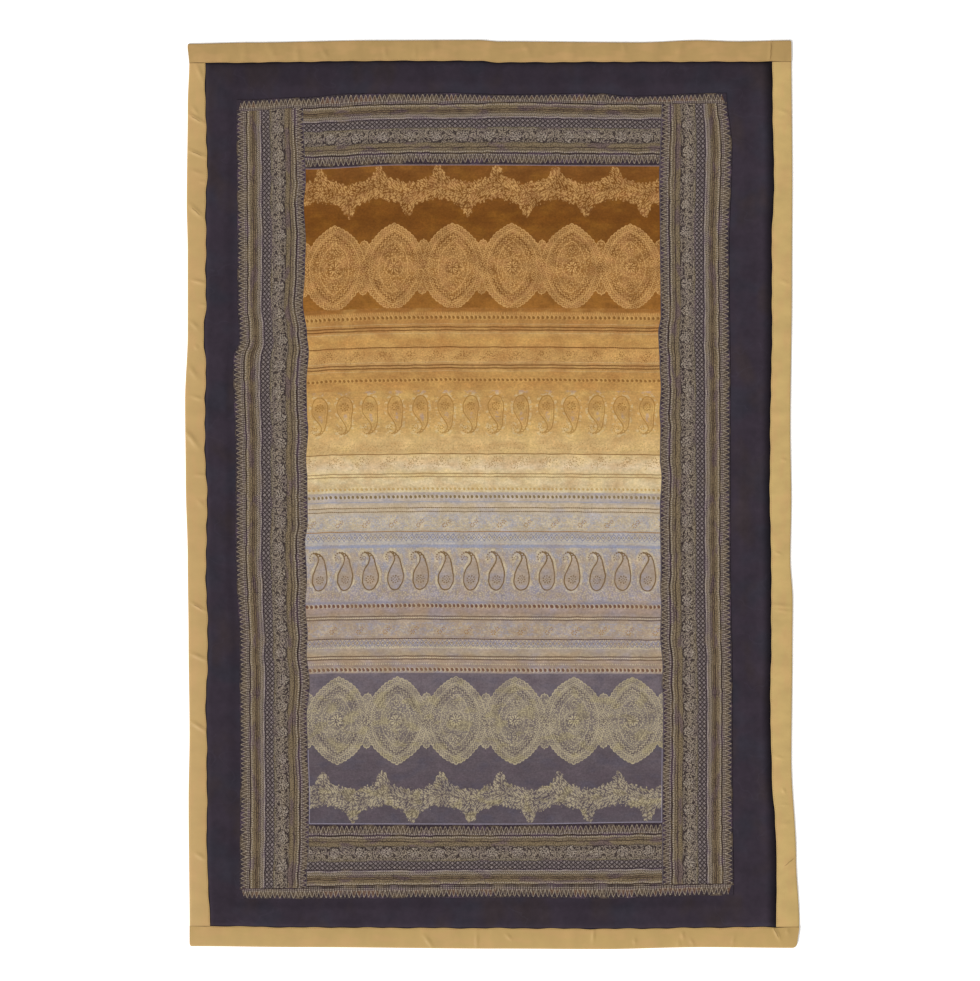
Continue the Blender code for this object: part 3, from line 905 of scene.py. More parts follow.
def laceField(u, v, cloth, almondAt, vineAt, light, dark):
    # A row of almonds with scalloped rims and smaller ones between, and a flowering vine beyond it
    pitch = (rightSeam - leftSeam) / laceRow["repeats"]
    here = (u - leftSeam - pitch / 2).local(pitch)
    side = abs(here) * -1 + pitch / 2
    up = v - almondAt
    deep, roundRim = almond(here, up, *laceRow["almond"])
    small, smallRound = almond(side, up, *laceRow["small almond"])
    scallop = abs(roundRim.wave(laceRow["scallop"] * 2))
    depth = laceRow["scallop depth"]
    rim = deep + scallop * depth - depth
    smallRim = small + abs(smallRound.wave(laceRow["scallop"] * 2)) * depth - depth
    inside = rim.above(0) | smallRim.above(0)
    grain = flecks(u, v, laceRow["grain"], laceRow["grain"])
    tone = cloud(u, v, 30, 30, 2.0).smooth(0.3, 0.7)
    cloth.lay(light, inside & (tone * 0.26 + 0.2))
    cloth.lay(light, inside & grain.below(0.29) * 0.75)
    holes = flecks(u + 90, v, 4.4, 4.4).below(0.24)
    cloth.lay(dark, inside & holes * 0.5)
    # rows of loops that follow the rims
    loops = roundRim.wave(6.6) & deep.wave(6.6)
    edge = rim.above(0) & deep.below(23)
    cloth.lay(light, edge & loops.above(0.1) * 0.45)
    cloth.lay(dark, edge & loops.below(-0.35) * 0.4)
    # lines and scalloped ribbons inside the rims
    lines = rim.near(0.9, 0.8) | deep.near(14.5, 0.7) | deep.near(38, 0.7)
    lines = lines | smallRim.near(0.9, 0.8) & deep.below(0)
    cloth.lay(light, lines * 0.75)
    pointed = abs(up).above(28) & deep.above(0)
    ribbon = (deep + scallop * 5).near(27, 1.4) | (deep + scallop * 4).near(33, 0.8)
    cloth.lay(dark, ribbon & pointed * 0.8)
    cloth.lay(light, (deep + scallop * 4).near(30, 0.9) & pointed * 0.5)
    # blossoms in the middle, above and below it, and where the almonds meet
    cloth.lay(dark, petalFlower(here, up, 19, 8, 0.5) & grain.above(0.34) * 0.5)
    cloth.lay(light, rays(here, up, 5, 12, 10) | reach(here, up).near(22, 0.8) * 0.6)
    pair = abs(up) - 42
    cloth.lay(dark, petalFlower(here, pair, 10, 6, 0.5) & grain.above(0.3) * 0.5)
    cloth.lay(light, ringFlower(here, pair, 5, 6, 0.3) * 0.6)
    cloth.lay(dark, petalFlower(side, up, 13, 6, 0.5) & grain.above(0.3) * 0.5)
    cloth.lay(light, ringFlower(side, up, 6, 6, 0.3) * 0.6)
    # the vine, with a spray of leaves outside each bend
    bend = (u - leftSeam).wave(pitch)
    off = v - vineAt - bend * laceRow["vine sway"]
    bloom = (u - leftSeam - pitch / 4).local(pitch / 2)
    spray = (off * bend).above(0) & (abs(bend) - 0.7).math("MAXIMUM", 0.0) * (1 / 0.3)
    ragged = flecks(u, v, 7, 10) * 13
    leafy = abs(off).below(spray * laceRow["vine spray"] + laceRow["vine half"] - ragged)
    leaves = flecks(u + abs(off) * 0.7, off, 3.7, 5.2)
    cloth.lay(light, leafy & (leaves.smooth(0.58, 0.24) * 0.6 + tone * 0.26))
    cloth.lay(dark, leafy & leaves.smooth(0.5, 0.75) * 0.45)
    stems = abs(off).near(1.6, 1.0) | abs(bloom).below(1.4) | abs(abs(bloom) - abs(off) * 0.5).near(7, 1.0)
    cloth.lay(dark, stems & leafy & grain.above(0.2) * 0.7)
    tinted = (inside | leafy) & cloud(u + 500, v, 38, 26).smooth(0.52, 0.68)
    cloth.lay(light + " tint", tinted * 0.22)
    bloomUp = v - vineAt - bend * 5
    cloth.lay(dark, petalFlower(bloom, bloomUp, 11, 8, 0.4) * 0.45)
    cloth.lay(light, rays(bloom, bloomUp, 3, 10, 8) * 0.75)


def goldBands(u, v, cloth):
    scallop = toothRow(u, v * -1, -421, -409, 5.2, 1.4)[0]
    cloth.lay("lace", scallop * 0.5)
    drops(u, v, cloth, 409, 2.9, 3.9, "brown", "gold light", 0.8)
    cloth.lay("rope", ropePair(u, v, 383))
    cloth.lay("cream", abs(v - 383).near(10.5, 0.7) * 0.22)
    cloth.lay("rope", spunLine(u, v, 340.3, 2.2, 0.2, 0.75))
    cloth.lay("gold light", seeded(u, v, 304, 336, 3.4, 0.28, 0.6))
    cloth.lay("gold light", seeded(u, v, 343, 362, 3.4, 0.2, 0.5))
    cloth.lay("brown", sprigRow(u + 315, v, 320, 62.3) * 0.6)
    cloth.lay("rope", ropePair(u, v, 295))
    cloth.lay("cream", abs(v - 295).near(10.5, 0.7) * 0.22)
    drops(u, v, cloth, 264, 3.0, 3.4, "brown", "gold light", 0.75)


def paisleyPlace(u):
    pitch = (rightSeam - leftSeam) / 14
    return (u - leftSeam - pitch / 2).local(pitch)


def paisleyFlowers(here, up, tip):  # one in the belly of the drop, and a small one in its curl
    flower = ringFlower(here, up - 26, 8, 9, 0.22) | ringFlower(here, up - 26, 3, 4, 0.36)
    return flower | ringFlower(here + 12, up - 76, tip, 6, 0.26)


def goldPaisleys(u, v, cloth):
    here = paisleyPlace(u)
    up = v * -1 + 229
    rim = paisley(here, up)
    misty = cloud(u, v, 11, 8, 2.0)
    cloth.lay("lilac", reach(here / 2.6, up + 8).smooth(8, 3) & misty.smooth(0.42, 0.62) * 0.3)
    cloth.lay("cream", rim.near(4.5, 3) & misty.smooth(0.5, 0.6) * 0.35)
    cloth.lay("brown", rim.smooth(0, -12) & up.smooth(46, 20) & misty.smooth(0.4, 0.6) * 0.28)
    cloth.lay("outline", abs(rim).below(1.2) * 0.62)
    cloth.lay("outline", rim.near(-4.4, 0.5) & up.above(20) * 0.35)
    cloth.lay("lilac", reach(here - 2, (up - 50) / 2.4).smooth(6, 3) & misty.smooth(0.4, 0.6) * 0.32)
    cloth.lay("outline", paisleyFlowers(here, up, 3.6) * 0.75)
    cloth.lay("outline", seeded(u, v, 97, 118, 6.5, 0.17, 0.45))
    cloth.lay("brown", plainLine(v, 91.5, 2.2) * 0.8)
    cloth.lay("outline", sprigRow(u + 359, v, 74, 61.9) * 0.6)
    cloth.lay("brown", ropePair(u, v, 43, 7, 2.5) * 0.9)
    drops(u, v, cloth, 10.7, 2.9, 3.2, "tan", "cream", 0.85)


def blossomBand(u, v, cloth, at, half, shift, strength=1.0):
    # sprays of petals blown about, with small round flowers on them
    stirU = u + (cloud(u, v, 8, 7) - 0.5) * 18
    stirV = v + (cloud(u + 200, v, 8, 7) - 0.5) * 14
    here = (stirU + shift).local(63)
    inBand = v.near(at, half)
    fan = rays(here + 9, stirV - (at - half - 2), 7, half * 2.1, 11)
    other = rays(here - 22, stirV - (at + half + 2), 5, half * 1.9, 11)
    speckle = flecks(u, v, 4.2, 4.2)
    misty = cloud(u, v, 15, 8, 2.0)
    cloth.lay("blue", inBand & misty.smooth(0.5, 0.66) * 0.34)
    cloth.lay("blue", inBand & (other & speckle.below(0.5) | speckle.below(0.2)) * 0.4)
    cloth.lay("cream", inBand & (fan & speckle.below(0.5) | speckle.within(0.5, 0.56)) * (0.42 * strength))
    cloth.lay("tan", inBand & flecks(u + 31, v, 5.5, 4.4).below(0.22) * (0.45 * strength))
    place = (u + shift).local(63)
    rings = ringFlower(place, v - at + 6, 4.4, 6, 0.36) | ringFlower(place - 9, v - at - 2, 3.4, 5, 0.4)
    cloth.lay("outline", rings * 0.75)


def lilacBands(u, v, cloth):
    drops(u, v, cloth, -7.9, 3.0, 3.9, "olive dot", "cream", 0.85)
    cloth.lay("blue", plainLine(v, -20, 2.4) * 0.6)
    lines = plainLine(v, -33.8, 2.4) | plainLine(v, -42.6, 2.2)
    cloth.lay("dusk outline", lines & (u.wave(spunTwist) * 0.25 + 0.7))
    blossomBand(u, v, cloth, -67.5, 17, 357)
    cloth.lay("outline", spunLine(u, v, -88.5, 2.3, 0.2, 0.8))
    cloth.lay("cream", seeded(u, v, -114, -92, 3.2, 0.26, 0.55))
    cloth.lay("net", crossings(u, v, -102, 16, 24, 2.6) * 0.85)
    cloth.lay("dusk outline", dotRow(u, v, -102, 12, 2.0, 1.8) * 0.55)
    cloth.lay("blue", abs(v + 102).near(10.5, 1.2) * 0.35)


def lilacPaisleys(u, v, cloth):
    here = paisleyPlace(u)
    up = v + 224.5
    rim = paisley(here, up)
    misty = cloud(u, v, 12, 20, 2.0)
    cloth.lay("blue", rim.smooth(2, 8) & v.smooth(-232, -205) & misty.smooth(0.4, 0.68) * 0.5)
    cloth.lay("lilac", v.within(-246, -212) & misty.smooth(0.6, 0.4) * 0.4)
    cloth.lay("cream", rim.near(4.2, 2.4) & misty.smooth(0.62, 0.36) * 0.4)
    speckle = flecks(u, v, 4.6, 4.6)
    cloth.lay("cream", rim.above(3) & speckle.below(0.2) * 0.5)
    cloth.lay("net", rim.above(3) & v.below(-205) & speckle.above(0.62) * 0.3)
    cloth.lay("dusk outline", abs(rim).below(1.35) * 0.85)
    cloth.lay("dusk outline", paisleyFlowers(here, up, 3.8) * 0.7)
    cloth.lay("blue", plainLine(v, -122.6, 6) * 0.7)


def duskBands(u, v, cloth):
    drops(u, v, cloth, -260, 3.3, 4.2, "red dot", "cream", 0.88)
    cloth.lay("dusk rope", ropePair(u, v, -288))
    blossomBand(u, v, cloth, -314.5, 16, 371, 0.6)
    cloth.lay("dusk rope", spunLine(u, v, -336.3, 2.2, 0.2, 0.8))
    cloth.lay("cream", seeded(u, v, -358, -338, 3.2, 0.3, 0.6))
    cloth.lay("net", crossings(u, v, -346, 14, 20, 2.4) * 0.85)
    cloth.lay("dusk outline", dotRow(u, v, -346, 10, 2.0, 1.8) * 0.5)
    cloth.lay("dusk rope", ropePair(u, v, -380))
    between = dotRow(u, v, -288, 5.2, 1.5, 1.1) | dotRow(u, v, -380, 5.2, 1.5, 1.1)
    between = between | dotRow(u, v, -357, 5.2, 1.7, 1.2) | dotRow(u, v, -394, 5.2, 1.5, 1.4)
    cloth.lay("cream", between * 0.5)
    drops(u, v, cloth, -407, 3.2, 4.0, "red dot", "cream", 0.85)


# Zones of the panel from foot to head: name, lowest place, motifs, ground colours by place
panelZones = (
    ("foot_field", -761.6, footField, (
        (-761.6, (89, 80, 86)), (-700, (86, 76, 82)), (-524, (98, 88, 92)), (-415, (112, 101, 106)))),
    ("dusk_bands", -415, duskBands, (
        (-415, (150, 136, 130)), (-404, (150, 130, 118)), (-394, (148, 130, 116)), (-388, (164, 142, 124)),
        (-372, (164, 146, 122)), (-360, (166, 150, 136)), (-354, (153, 141, 131)), (-340, (153, 137, 127)),
        (-333, (160, 142, 127)), (-297, (163, 145, 129)), (-284, (164, 146, 128)), (-276, (152, 132, 118)),
        (-268, (160, 140, 130)), (-262, (150, 128, 116)), (-252, (140, 133, 142)), (-247, (160, 147, 138)))),
    ("lilac_paisleys", -247, lilacPaisleys, (
        (-247, (160, 146, 138)), (-235, (159, 143, 128)), (-190, (162, 145, 129)), (-150, (168, 152, 137)),
        (-128, (175, 160, 141)), (-118, (160, 154, 155)))),
    ("lilac_bands", -118, lilacBands, (
        (-118, (176, 168, 162)), (-111, (176, 168, 160)), (-96, (165, 157, 153)), (-90, (170, 158, 148)),
        (-84, (180, 167, 150)), (-50, (183, 171, 157)), (-44, (186, 170, 148)), (-28, (192, 172, 145)),
        (-20, (174, 162, 148)), (-14, (183, 168, 155)), (-4, (170, 156, 146)), (2.5, (176, 162, 150)))),
    ("gold_paisleys", 2.5, goldPaisleys, (
        (2.5, (206, 190, 156)), (12, (204, 182, 140)), (26, (212, 191, 152)), (43, (211, 188, 140)),
        (62, (214, 191, 156)), (92, (210, 181, 129)), (93, (203, 171, 118)), (125, (206, 172, 117)),
        (150, (197, 159, 99)), (200, (189, 146, 86)), (240, (187, 145, 84)))),
    ("gold_bands", 240, goldBands, (
        (240, (187, 143, 83)), (262, (184, 138, 77)), (284, (180, 136, 78)), (300, (183, 141, 88)),
        (340, (184, 138, 80)), (356, (184, 138, 77)), (372, (188, 146, 88)), (380, (176, 130, 76)),
        (400, (172, 126, 70)), (420, (168, 121, 64)), (424, (150, 101, 48)), (431, (148, 99, 46)))),
    ("head_field", 431, headField, (
        (431, (148, 98, 42)), (560, (126, 80, 30)), (640, (116, 70, 22)), (761.6, (120, 76, 32)))),
)

# Two soft tints that cloud each zone's ground
panelTints = {
    "foot_field": ((78, 76, 92), (98, 84, 92)),
    "dusk_bands": ((140, 136, 158), (176, 146, 112)),
    "lilac_paisleys": ((140, 142, 168), (178, 150, 124)),
    "lilac_bands": ((152, 154, 178), (194, 170, 134)),
    "gold_paisleys": ((218, 186, 118), (194, 148, 92)),
    "gold_bands": ((206, 164, 96), (172, 116, 62)),
    "head_field": ((146, 98, 34), (110, 64, 22)),
}

panelMiddle = (leftSeam + rightSeam) / 2
panelHalf = (rightSeam - leftSeam) / 2
panelCloth = {  # strays, the seam line and the threads are in mm, and the rest are shares
    "strays": (6, 3),
    "streaks": 0.12,
    "clouds": 0.34,
    "tints": 0.3,
    "grain": 0.4,
    "dye and sheen clouding": 0.42,
    "dye and sheen clouding tint": 0.2,
    "speckle": 0.42,
    "seam line": 1.8,
    "seam strengths": (0.6, 0.35, 0.55),  # along the foot, along the head, up the sides
    "threads": 1.5,
    "thread contrast": 0.1,
    "roughness": 0.85,
    "sheen": 0.03,
    "gloss": 0.12,
    "relief": 0.35,
}


def panelRows():  # a row of the mesh lies on each zone's edge
    gap = heights["sewn gap"] / 2
    inner = [zone[1] for zone in panelZones[1:]]
    edges = [level("panel foot") + gap] + inner + [level("panel head") - gap]
    rows = [edges[0]]
    for low, high in zip(edges, edges[1:]):
        rows += spread(low, high, printCloth["panel step"])[1:]
    return rows


def dressPanel(piece):
    for name, low, motifs, ground in panelZones:
        first, second = panelTints[name]
        cloth = Cloth("panel_" + name, {**panelInks, "first tint": first, "second tint": second})
        u, v = cloth.place
        drawn = u + (cloud(u, v, 30, 50) - 0.5) * panelCloth["strays"][0]  # uneven drawing of the motifs
        raised = v + (cloud(u, v, 42, 400) - 0.5) * panelCloth["strays"][1]
        cloth.colour = bands(raised, ground)
        cloth.mottle(cloud(u, v, 180, 3.0), panelCloth["streaks"])
        cloth.mottle(cloud(u, v, 46, 34, 2.0), panelCloth["clouds"])
        patches = cloud(u + 300, v, 52, 30, 2.0)
        cloth.lay("first tint", patches.smooth(0.48, 0.74) * panelCloth["tints"])
        cloth.lay("second tint", patches.smooth(0.52, 0.26) * panelCloth["tints"])
        cloth.mottle(cloud(u, v, 9, 6, 2.0), panelCloth["grain"])
        motifs(drawn, raised, cloth)
        broadCloud = cloud(u, v + 500, 44, 28, 3.0)  # soft clouding over ground and motifs alike, partly uneven dye and partly painted sheen and shade
        cloth.mottle(broadCloud, panelCloth["dye and sheen clouding"])
        cloth.lay("second tint", broadCloud.smooth(0.52, 0.3) * panelCloth["dye and sheen clouding tint"])
        atFoot, atHead, atSides = panelCloth["seam strengths"]
        thin = panelCloth["seam line"]
        ends = abs(v).above(level("panel head") - thin) * (atFoot if low < 0 else atHead)
        sides = abs(u - panelMiddle).above(panelHalf - thin) & v.below(-590) * atSides
        cloth.lay("seam", ends | sides)
        cloth.mottle(cloud(u, v, 4.2, 3.6), panelCloth["speckle"])
        piece.data.materials.append(cloth.finish(panelCloth))
    lows = np.array([zone[1] for zone in panelZones]) * mm
    layer = piece.data.uv_layers["flat"].data
    for face in piece.data.polygons:
        up = sum(layer[loop].uv[1] for loop in face.loop_indices) / face.loop_total
        face.material_index = max(int(np.searchsorted(lows, up)) - 1, 0)


# The striped borders and toothed edgings

borderInks = {
    "light": (168, 153, 132),
    "pale": (178, 165, 150),
    "lavender": (134, 124, 128),
    "chain": (146, 134, 130),
    "dark": (44, 34, 36),
    "shade": (88, 70, 84),
    "inside": (82, 67, 55),
    "leaf": (140, 127, 112),
    "olive": (118, 101, 75),
    "rust": (104, 68, 48),
    "ground": (55, 47, 55),
}

# The stripes: mm in from the points of the teeth, colour
borderBands = (
    (0, (57, 49, 54)), (13, (64, 53, 53)), (14.5, (86, 73, 67)), (20.2, (88, 75, 68)),
    (20.8, (46, 35, 33)), (22.6, (52, 40, 37)), (23.2, (119, 104, 83)), (31, (121, 105, 82)),
    (35, (101, 84, 65)), (39, (101, 84, 65)), (41, (115, 100, 80)), (45, (113, 98, 80)),
    (51, (109, 96, 82)), (52, (109, 97, 95)), (55.5, (98, 85, 91)), (57, (54, 42, 47)),
    (76, (54, 43, 48)), (77.5, (105, 95, 78)), (82.5, (97, 86, 74)), (84, (88, 76, 72)),
    (109, (88, 76, 72)), (111, (111, 97, 77)), (119, (116, 101, 80)), (121, (95, 79, 62)),
    (123.5, (114, 99, 79)), (132.5, (117, 103, 84)), (134.2, (49, 37, 36)), (136.4, (53, 41, 40)),
    (137, (90, 77, 72)), (142, (82, 71, 70)), (144, (60, 49, 53)), (162, (55, 44, 50)),
)

# Thin dark seams between the stripes: mm in, thickness, strength
borderSeams = (
    (35.4, 1.9, 1), (39.8, 1.6, 1), (57.2, 2.0, 1), (81.8, 1.8, 0.45), (122.2, 2.0, 1), (111, 1.2, 1),
    (30.6, 1.0, 1), (43.8, 1.0, 1), (127.6, 1.0, 1),
)

borderCloth = {
    "strays": (6, 4, 2),
    "streaks": 0.55,
    "shade": 0.5,
    "olive": 0.4,
    "clouds": 0.3,
    "grain": 0.8,
    "speckle": 0.5,
    "bead pitch": 5.45,
    "tooth pitch": 10.9,
    "threads": 1.5,
    "thread contrast": 0.1,
    "roughness": 0.88,
    "sheen": 0.03,
    "gloss": 0.1,
    "relief": 0.35,
}


def dressStrip(name, edge, ends=None):
    # edge is where the cloth meets the panel, and ends are given for an edging, which has none
    cloth = Cloth(name, borderInks)
    along, inwards = cloth.place
    aside, slow, quick = borderCloth["strays"]
    beadPitch, toothPitch = borderCloth["bead pitch"], borderCloth["tooth pitch"]
    drawn = along + (cloud(along, inwards, 26, 40) - 0.5) * aside
    off = inwards + (cloud(along, inwards, 30, 300) - 0.5) * slow
    off = off + (cloud(along, inwards, 12, 50) - 0.5) * quick
    cloth.colour = bands(off, borderBands)
    cloth.mottle(cloud(along, inwards, 50, 2.8), borderCloth["streaks"])
    tint = cloud(along, inwards, 60, 18, 2.0)
    cloth.lay("shade", tint.smooth(0.52, 0.68) * borderCloth["shade"])
    cloth.lay("olive", tint.smooth(0.46, 0.32) * borderCloth["olive"])
    cloth.mottle(cloud(along, inwards, 36, 20, 2.0), borderCloth["clouds"])
    seeds = flecks(drawn, off, 3.6, 3.6)
    grains = flecks(drawn, off, 2.9, 2.5)
    cloth.mottle(grains.smooth(0.7, 0.15), borderCloth["grain"])
    beaded = seeds.smooth(0.6, 0.25) * 0.5 + 0.5
    # outer teeth with the loops inside them and the beads that they stand on
    outline, inside = toothRow(drawn, off, 14.5, 0.4, toothPitch, 1.45)
    cloth.lay("inside", inside * 0.6)
    if ends:
        cloth.lay("rust", inside & cloud(along, inwards, 60, 60).smooth(0.5, 0.58) * 0.45)
    loop = toothRow(drawn, off, 14.5, 7.5, 6.4, 1.2)[0]
    cloth.lay("light", outline & beaded * 0.84)
    cloth.lay("light", loop & beaded * 0.3)
    cloth.lay("pale", dotRow(drawn, off, 14.6, beadPitch, 1.6, 1.5) * 0.45)
    cloth.lay("pale", dotRow(drawn, off, 18.4, beadPitch, 1.5, 1.4) * 0.45)
    if not ends:
        beads = dotRow(drawn, off, 25, 4.9, 1.4, 1.6) | dotRow(drawn, off, 132, 4.9, 1.4, 1.6)
        beads = beads | dotRow(drawn + off, off, 47.5, 4.9, 1.4, 2.4)
        cloth.lay("pale", beads * 0.6)
        cloth.lay("dark", dotRow(drawn - off + 2, off, 47, 4.9, 0.9, 2.6) * 0.6)
        broken = cloud(along, inwards, 44, 400).smooth(0.42, 0.6)
        cloth.lay("pale", plainLine(off, 53.6, 2.0) & broken * 0.45)
        cloth.lay("pale", dotRow(drawn, off, 53.6, 4.9, 1.6, 1.6) * 0.45)
        # a net of small diamonds
        net = crossings(drawn, off, 61.9, 10, 22.4, 3.0) | crossings(drawn, off, 71.9, 10, 22.4, 3.0)
        cloth.lay("chain", off.within(57.6, 76.2) & (seeds.smooth(0.7, 0.1) * 0.5 + 0.4))
        net = net | diamonds(drawn + 5.6, off, 66.9, 11.2, 5.2, 4.6) * 0.35
        cloth.lay("dark", off.within(57.6, 76.2) & net * 0.92)
        # blossoms with curled leaves between them
        row = off.within(79, 110.5)
        stirred = drawn + (cloud(along, inwards, 9, 9) - 0.5) * 12
        stirredOff = off + (cloud(along + 200, inwards, 9, 9) - 0.5) * 9
        here = stirred.local(61)
        cloth.lay("leaf", row & grains.below(0.42) * 0.8)
        cloth.lay("dark", row & grains.above(0.58) * 0.72)
        bloom = rays(here, stirredOff - 98, 3.5, 12, 8) | ringFlower(here, stirredOff - 98, 2.6, 5, 0.5)
        cloth.lay("pale", bloom & row & grains.below(0.55) * 0.55)
        leaf = rays(abs(here) - 30.5, stirredOff - 84, 4, 20, 13)
        cloth.lay("light", leaf & row & grains.below(0.6) * 0.45)
        crescent = reach(here, stirredOff - 96).near(14.5, 1.8) & off.above(101)
        hollow = reach(abs(here) - 17, stirredOff - 88).below(3.4)
        hollow = hollow | reach(abs(here) - 25, stirredOff - 104).below(3)
        cloth.lay("dark", (crescent | hollow) & row * 0.8)
        # crisp thin seams between the stripes
        seams = None
        for at, thick, strength in borderSeams:
            seam = plainLine(off, at, thick)
            if strength < 1:
                seam = seam * strength
            seams = seam if seams is None else seams | seam
        cloth.lay("dark", seams & (broken * 0.35 + 0.5))
        # the inner teeth
        cloth.lay("pale", dotRow(drawn, off, 139.4, beadPitch, 1.6, 1.5) * 0.6)
        outline, inside = toothRow(drawn, off, 141.5, min(edge - 1, 157), toothPitch, 1.6)
        cloth.lay("inside", inside * 0.5)
        cloth.lay("light", outline & beaded * 0.75)
        cloth.lay("light", toothRow(drawn, off, 141.5, 149, 6.4, 1.2)[0] & beaded * 0.45)
        cloth.lay("lavender", inwards.above(edge - 1.2) * 0.3)
    else:
        middle, half = ends  # the outer corners of an edging are cut slanting in the print
        slant = abs(along - middle) - (off * 0.35 + (half - 9))
        cloth.lay("ground", slant.above(0) & off.below(19.5))
    cloth.mottle(cloud(along, inwards, 4, 4), borderCloth["speckle"])
    return cloth.finish(borderCloth)


# The plain padded ground

groundInks = {"plum": (55, 47, 56), "blue": (52, 48, 57), "warm": (57, 48, 52), "mark": (74, 68, 80)}
groundLook = {
    "clouds": 0.5,
    "grain": 0.28,
    "marks": 0.12,
    "painted head shade": 0.32,
    # how wide and how deep the painted shade beside each binding is: left, right, foot, head
    "painted seam shades": ((4, 0.3), (26, 1.1), (4, 0.3), (8, 0.5)),
    "threads": 1.3,
    "thread contrast": 0.12,
    "roughness": 0.92,
    "sheen": 0.02,
    "gloss": 0.08,
    "relief": 0.3,
}


def dressGround():
    cloth = Cloth("padded_plum_cotton", groundInks)
    u, v = cloth.place
    cloth.start("plum")
    cloth.lay("blue", cloud(u, v, 120, 90, 2.0).smooth(0.45, 0.7))
    cloth.lay("warm", cloud(u + 700, v, 90, 130, 2.0).smooth(0.5, 0.75))
    cloth.mottle(cloud(u, v + 300, 60, 60, 3.0), groundLook["clouds"])
    cloth.mottle(cloud(u, v, 14, 14, 3.0), groundLook["grain"])
    marks = abs(cloud(u + 80, v, 160, 110, 3.0) - 0.5).below(0.006) & cloud(u, v, 200, 200).above(0.5)
    cloth.lay("mark", marks * groundLook["marks"])
    # painted shade: the padded ground darker towards the head, where less light falls
    cloth.mottle(v.smooth(1000, 850) * 0.5, groundLook["painted head shade"])
    # painted shade, darker where the padding turns down to the binding
    insides = (
        u - upright("left binding"), u * -1 + upright("right binding"),
        v - level("foot binding"), v * -1 + level("head binding"))
    for inside, (breadth, depth) in zip(insides, groundLook["painted seam shades"]):
        cloth.mottle(inside.smooth(0, breadth) * 0.5, depth)
    return cloth.finish(groundLook)


# The satin

satinLook = {
    "warmth": 0.35,
    "end seam shade": 0.7,
    "creases": 0.6,
    "mottle": {"left": 0.16, "right": 0.3, "head": 0.22, "foot": 0.16},
    "threads": 1.0,
    "thread contrast": 0.06,
    "roughness": 0.46,
    "sheen": 0.05,
    "gloss": 0.3,
    "relief": 0.2,
}
# the left, right, head and foot tones are one satin made lighter or darker by strip as painted light and
# shade, the head darkest
satinInks = {
    "left": (190, 157, 101),
    "right": (195, 165, 105),
    "head": (175, 143, 90),
    "foot": (186, 154, 96),
    "warm": (198, 155, 104),
    # the next two inks are painted shade: in the end seams and along the creases
    "seam": (104, 70, 34),
    "crease": (112, 80, 42),
}

# Painted shade along the creases of each strip: place along it, place in from the fold, half length, turn
satinCreaseShades = {
    "left": ((884, 20, 15, -58), (799, 21, 15, -63), (663, 21, 16, -45), (-259, 23, 14, -58)),
    "right": ((-855, 18, 17, -51),),
    "head": ((649, 24, 26, 92),),
    "foot": ((652, 36, 15, -64),),
}


def dressSatin(name):
    cloth = Cloth("gold_satin_" + name, satinInks)
    along, inwards = cloth.place
    # the strip's tone of the satin, with painted light and shade by side
    cloth.start(name)
    warm = cloud(along, inwards, 70, 26, 2.0).smooth(0.42, 0.72)
    cloth.lay("warm", warm * satinLook["warmth"])
    cloth.mottle(cloud(along, inwards, 34, 60, 2.0), satinLook["mottle"][name])
    if name in ("left", "right"):  # painted shade at the seams to the head and foot strips
        ends = abs(along - (level("head binding") + level("foot binding")) / 2)
        half = (level("head binding") - level("foot binding")) / 2
        cloth.lay("seam", ends.smooth(half - 2.2, half - 0.6) * satinLook["end seam shade"])
    # painted shade along each crease
    for up, across, half, turn in satinCreaseShades[name]:
        east, north = along - up, inwards - across
        slope = math.radians(turn)
        run = abs(east * math.cos(slope) + north * math.sin(slope))
        aside = abs(north * math.cos(slope) - east * math.sin(slope) + run.wave(31) * 0.7)
        crease = aside.smooth(1.3, 0.5) & run.smooth(half, half * 0.5) * satinLook["creases"]
        cloth.lay("crease", crease)
    return cloth.finish(satinLook)


# Stitches, set along the seams by one Geometry Nodes tree with sizes in mm

bindingStitches = {
    "Pitch": 4.4,
    "Length": 3.0,
    "Breadth": 0.9,
    "Unevenness": 0.2,
    "in from the edge": 2.4,
    "clear of the corners": 4,
    "follows the edge": 0.85,
}
printStitches = {
    "Pitch": 4.0,
    "Length": 2.6,
    "Breadth": 0.8,
    "Unevenness": 0.25,
    "in from the edge": 1.8,
    "clear of the corners": 3,
    "step": 6,
}
threadInks = {"binding": ((186, 150, 94), (150, 116, 66)), "print": ((72, 60, 66), (44, 34, 38))}


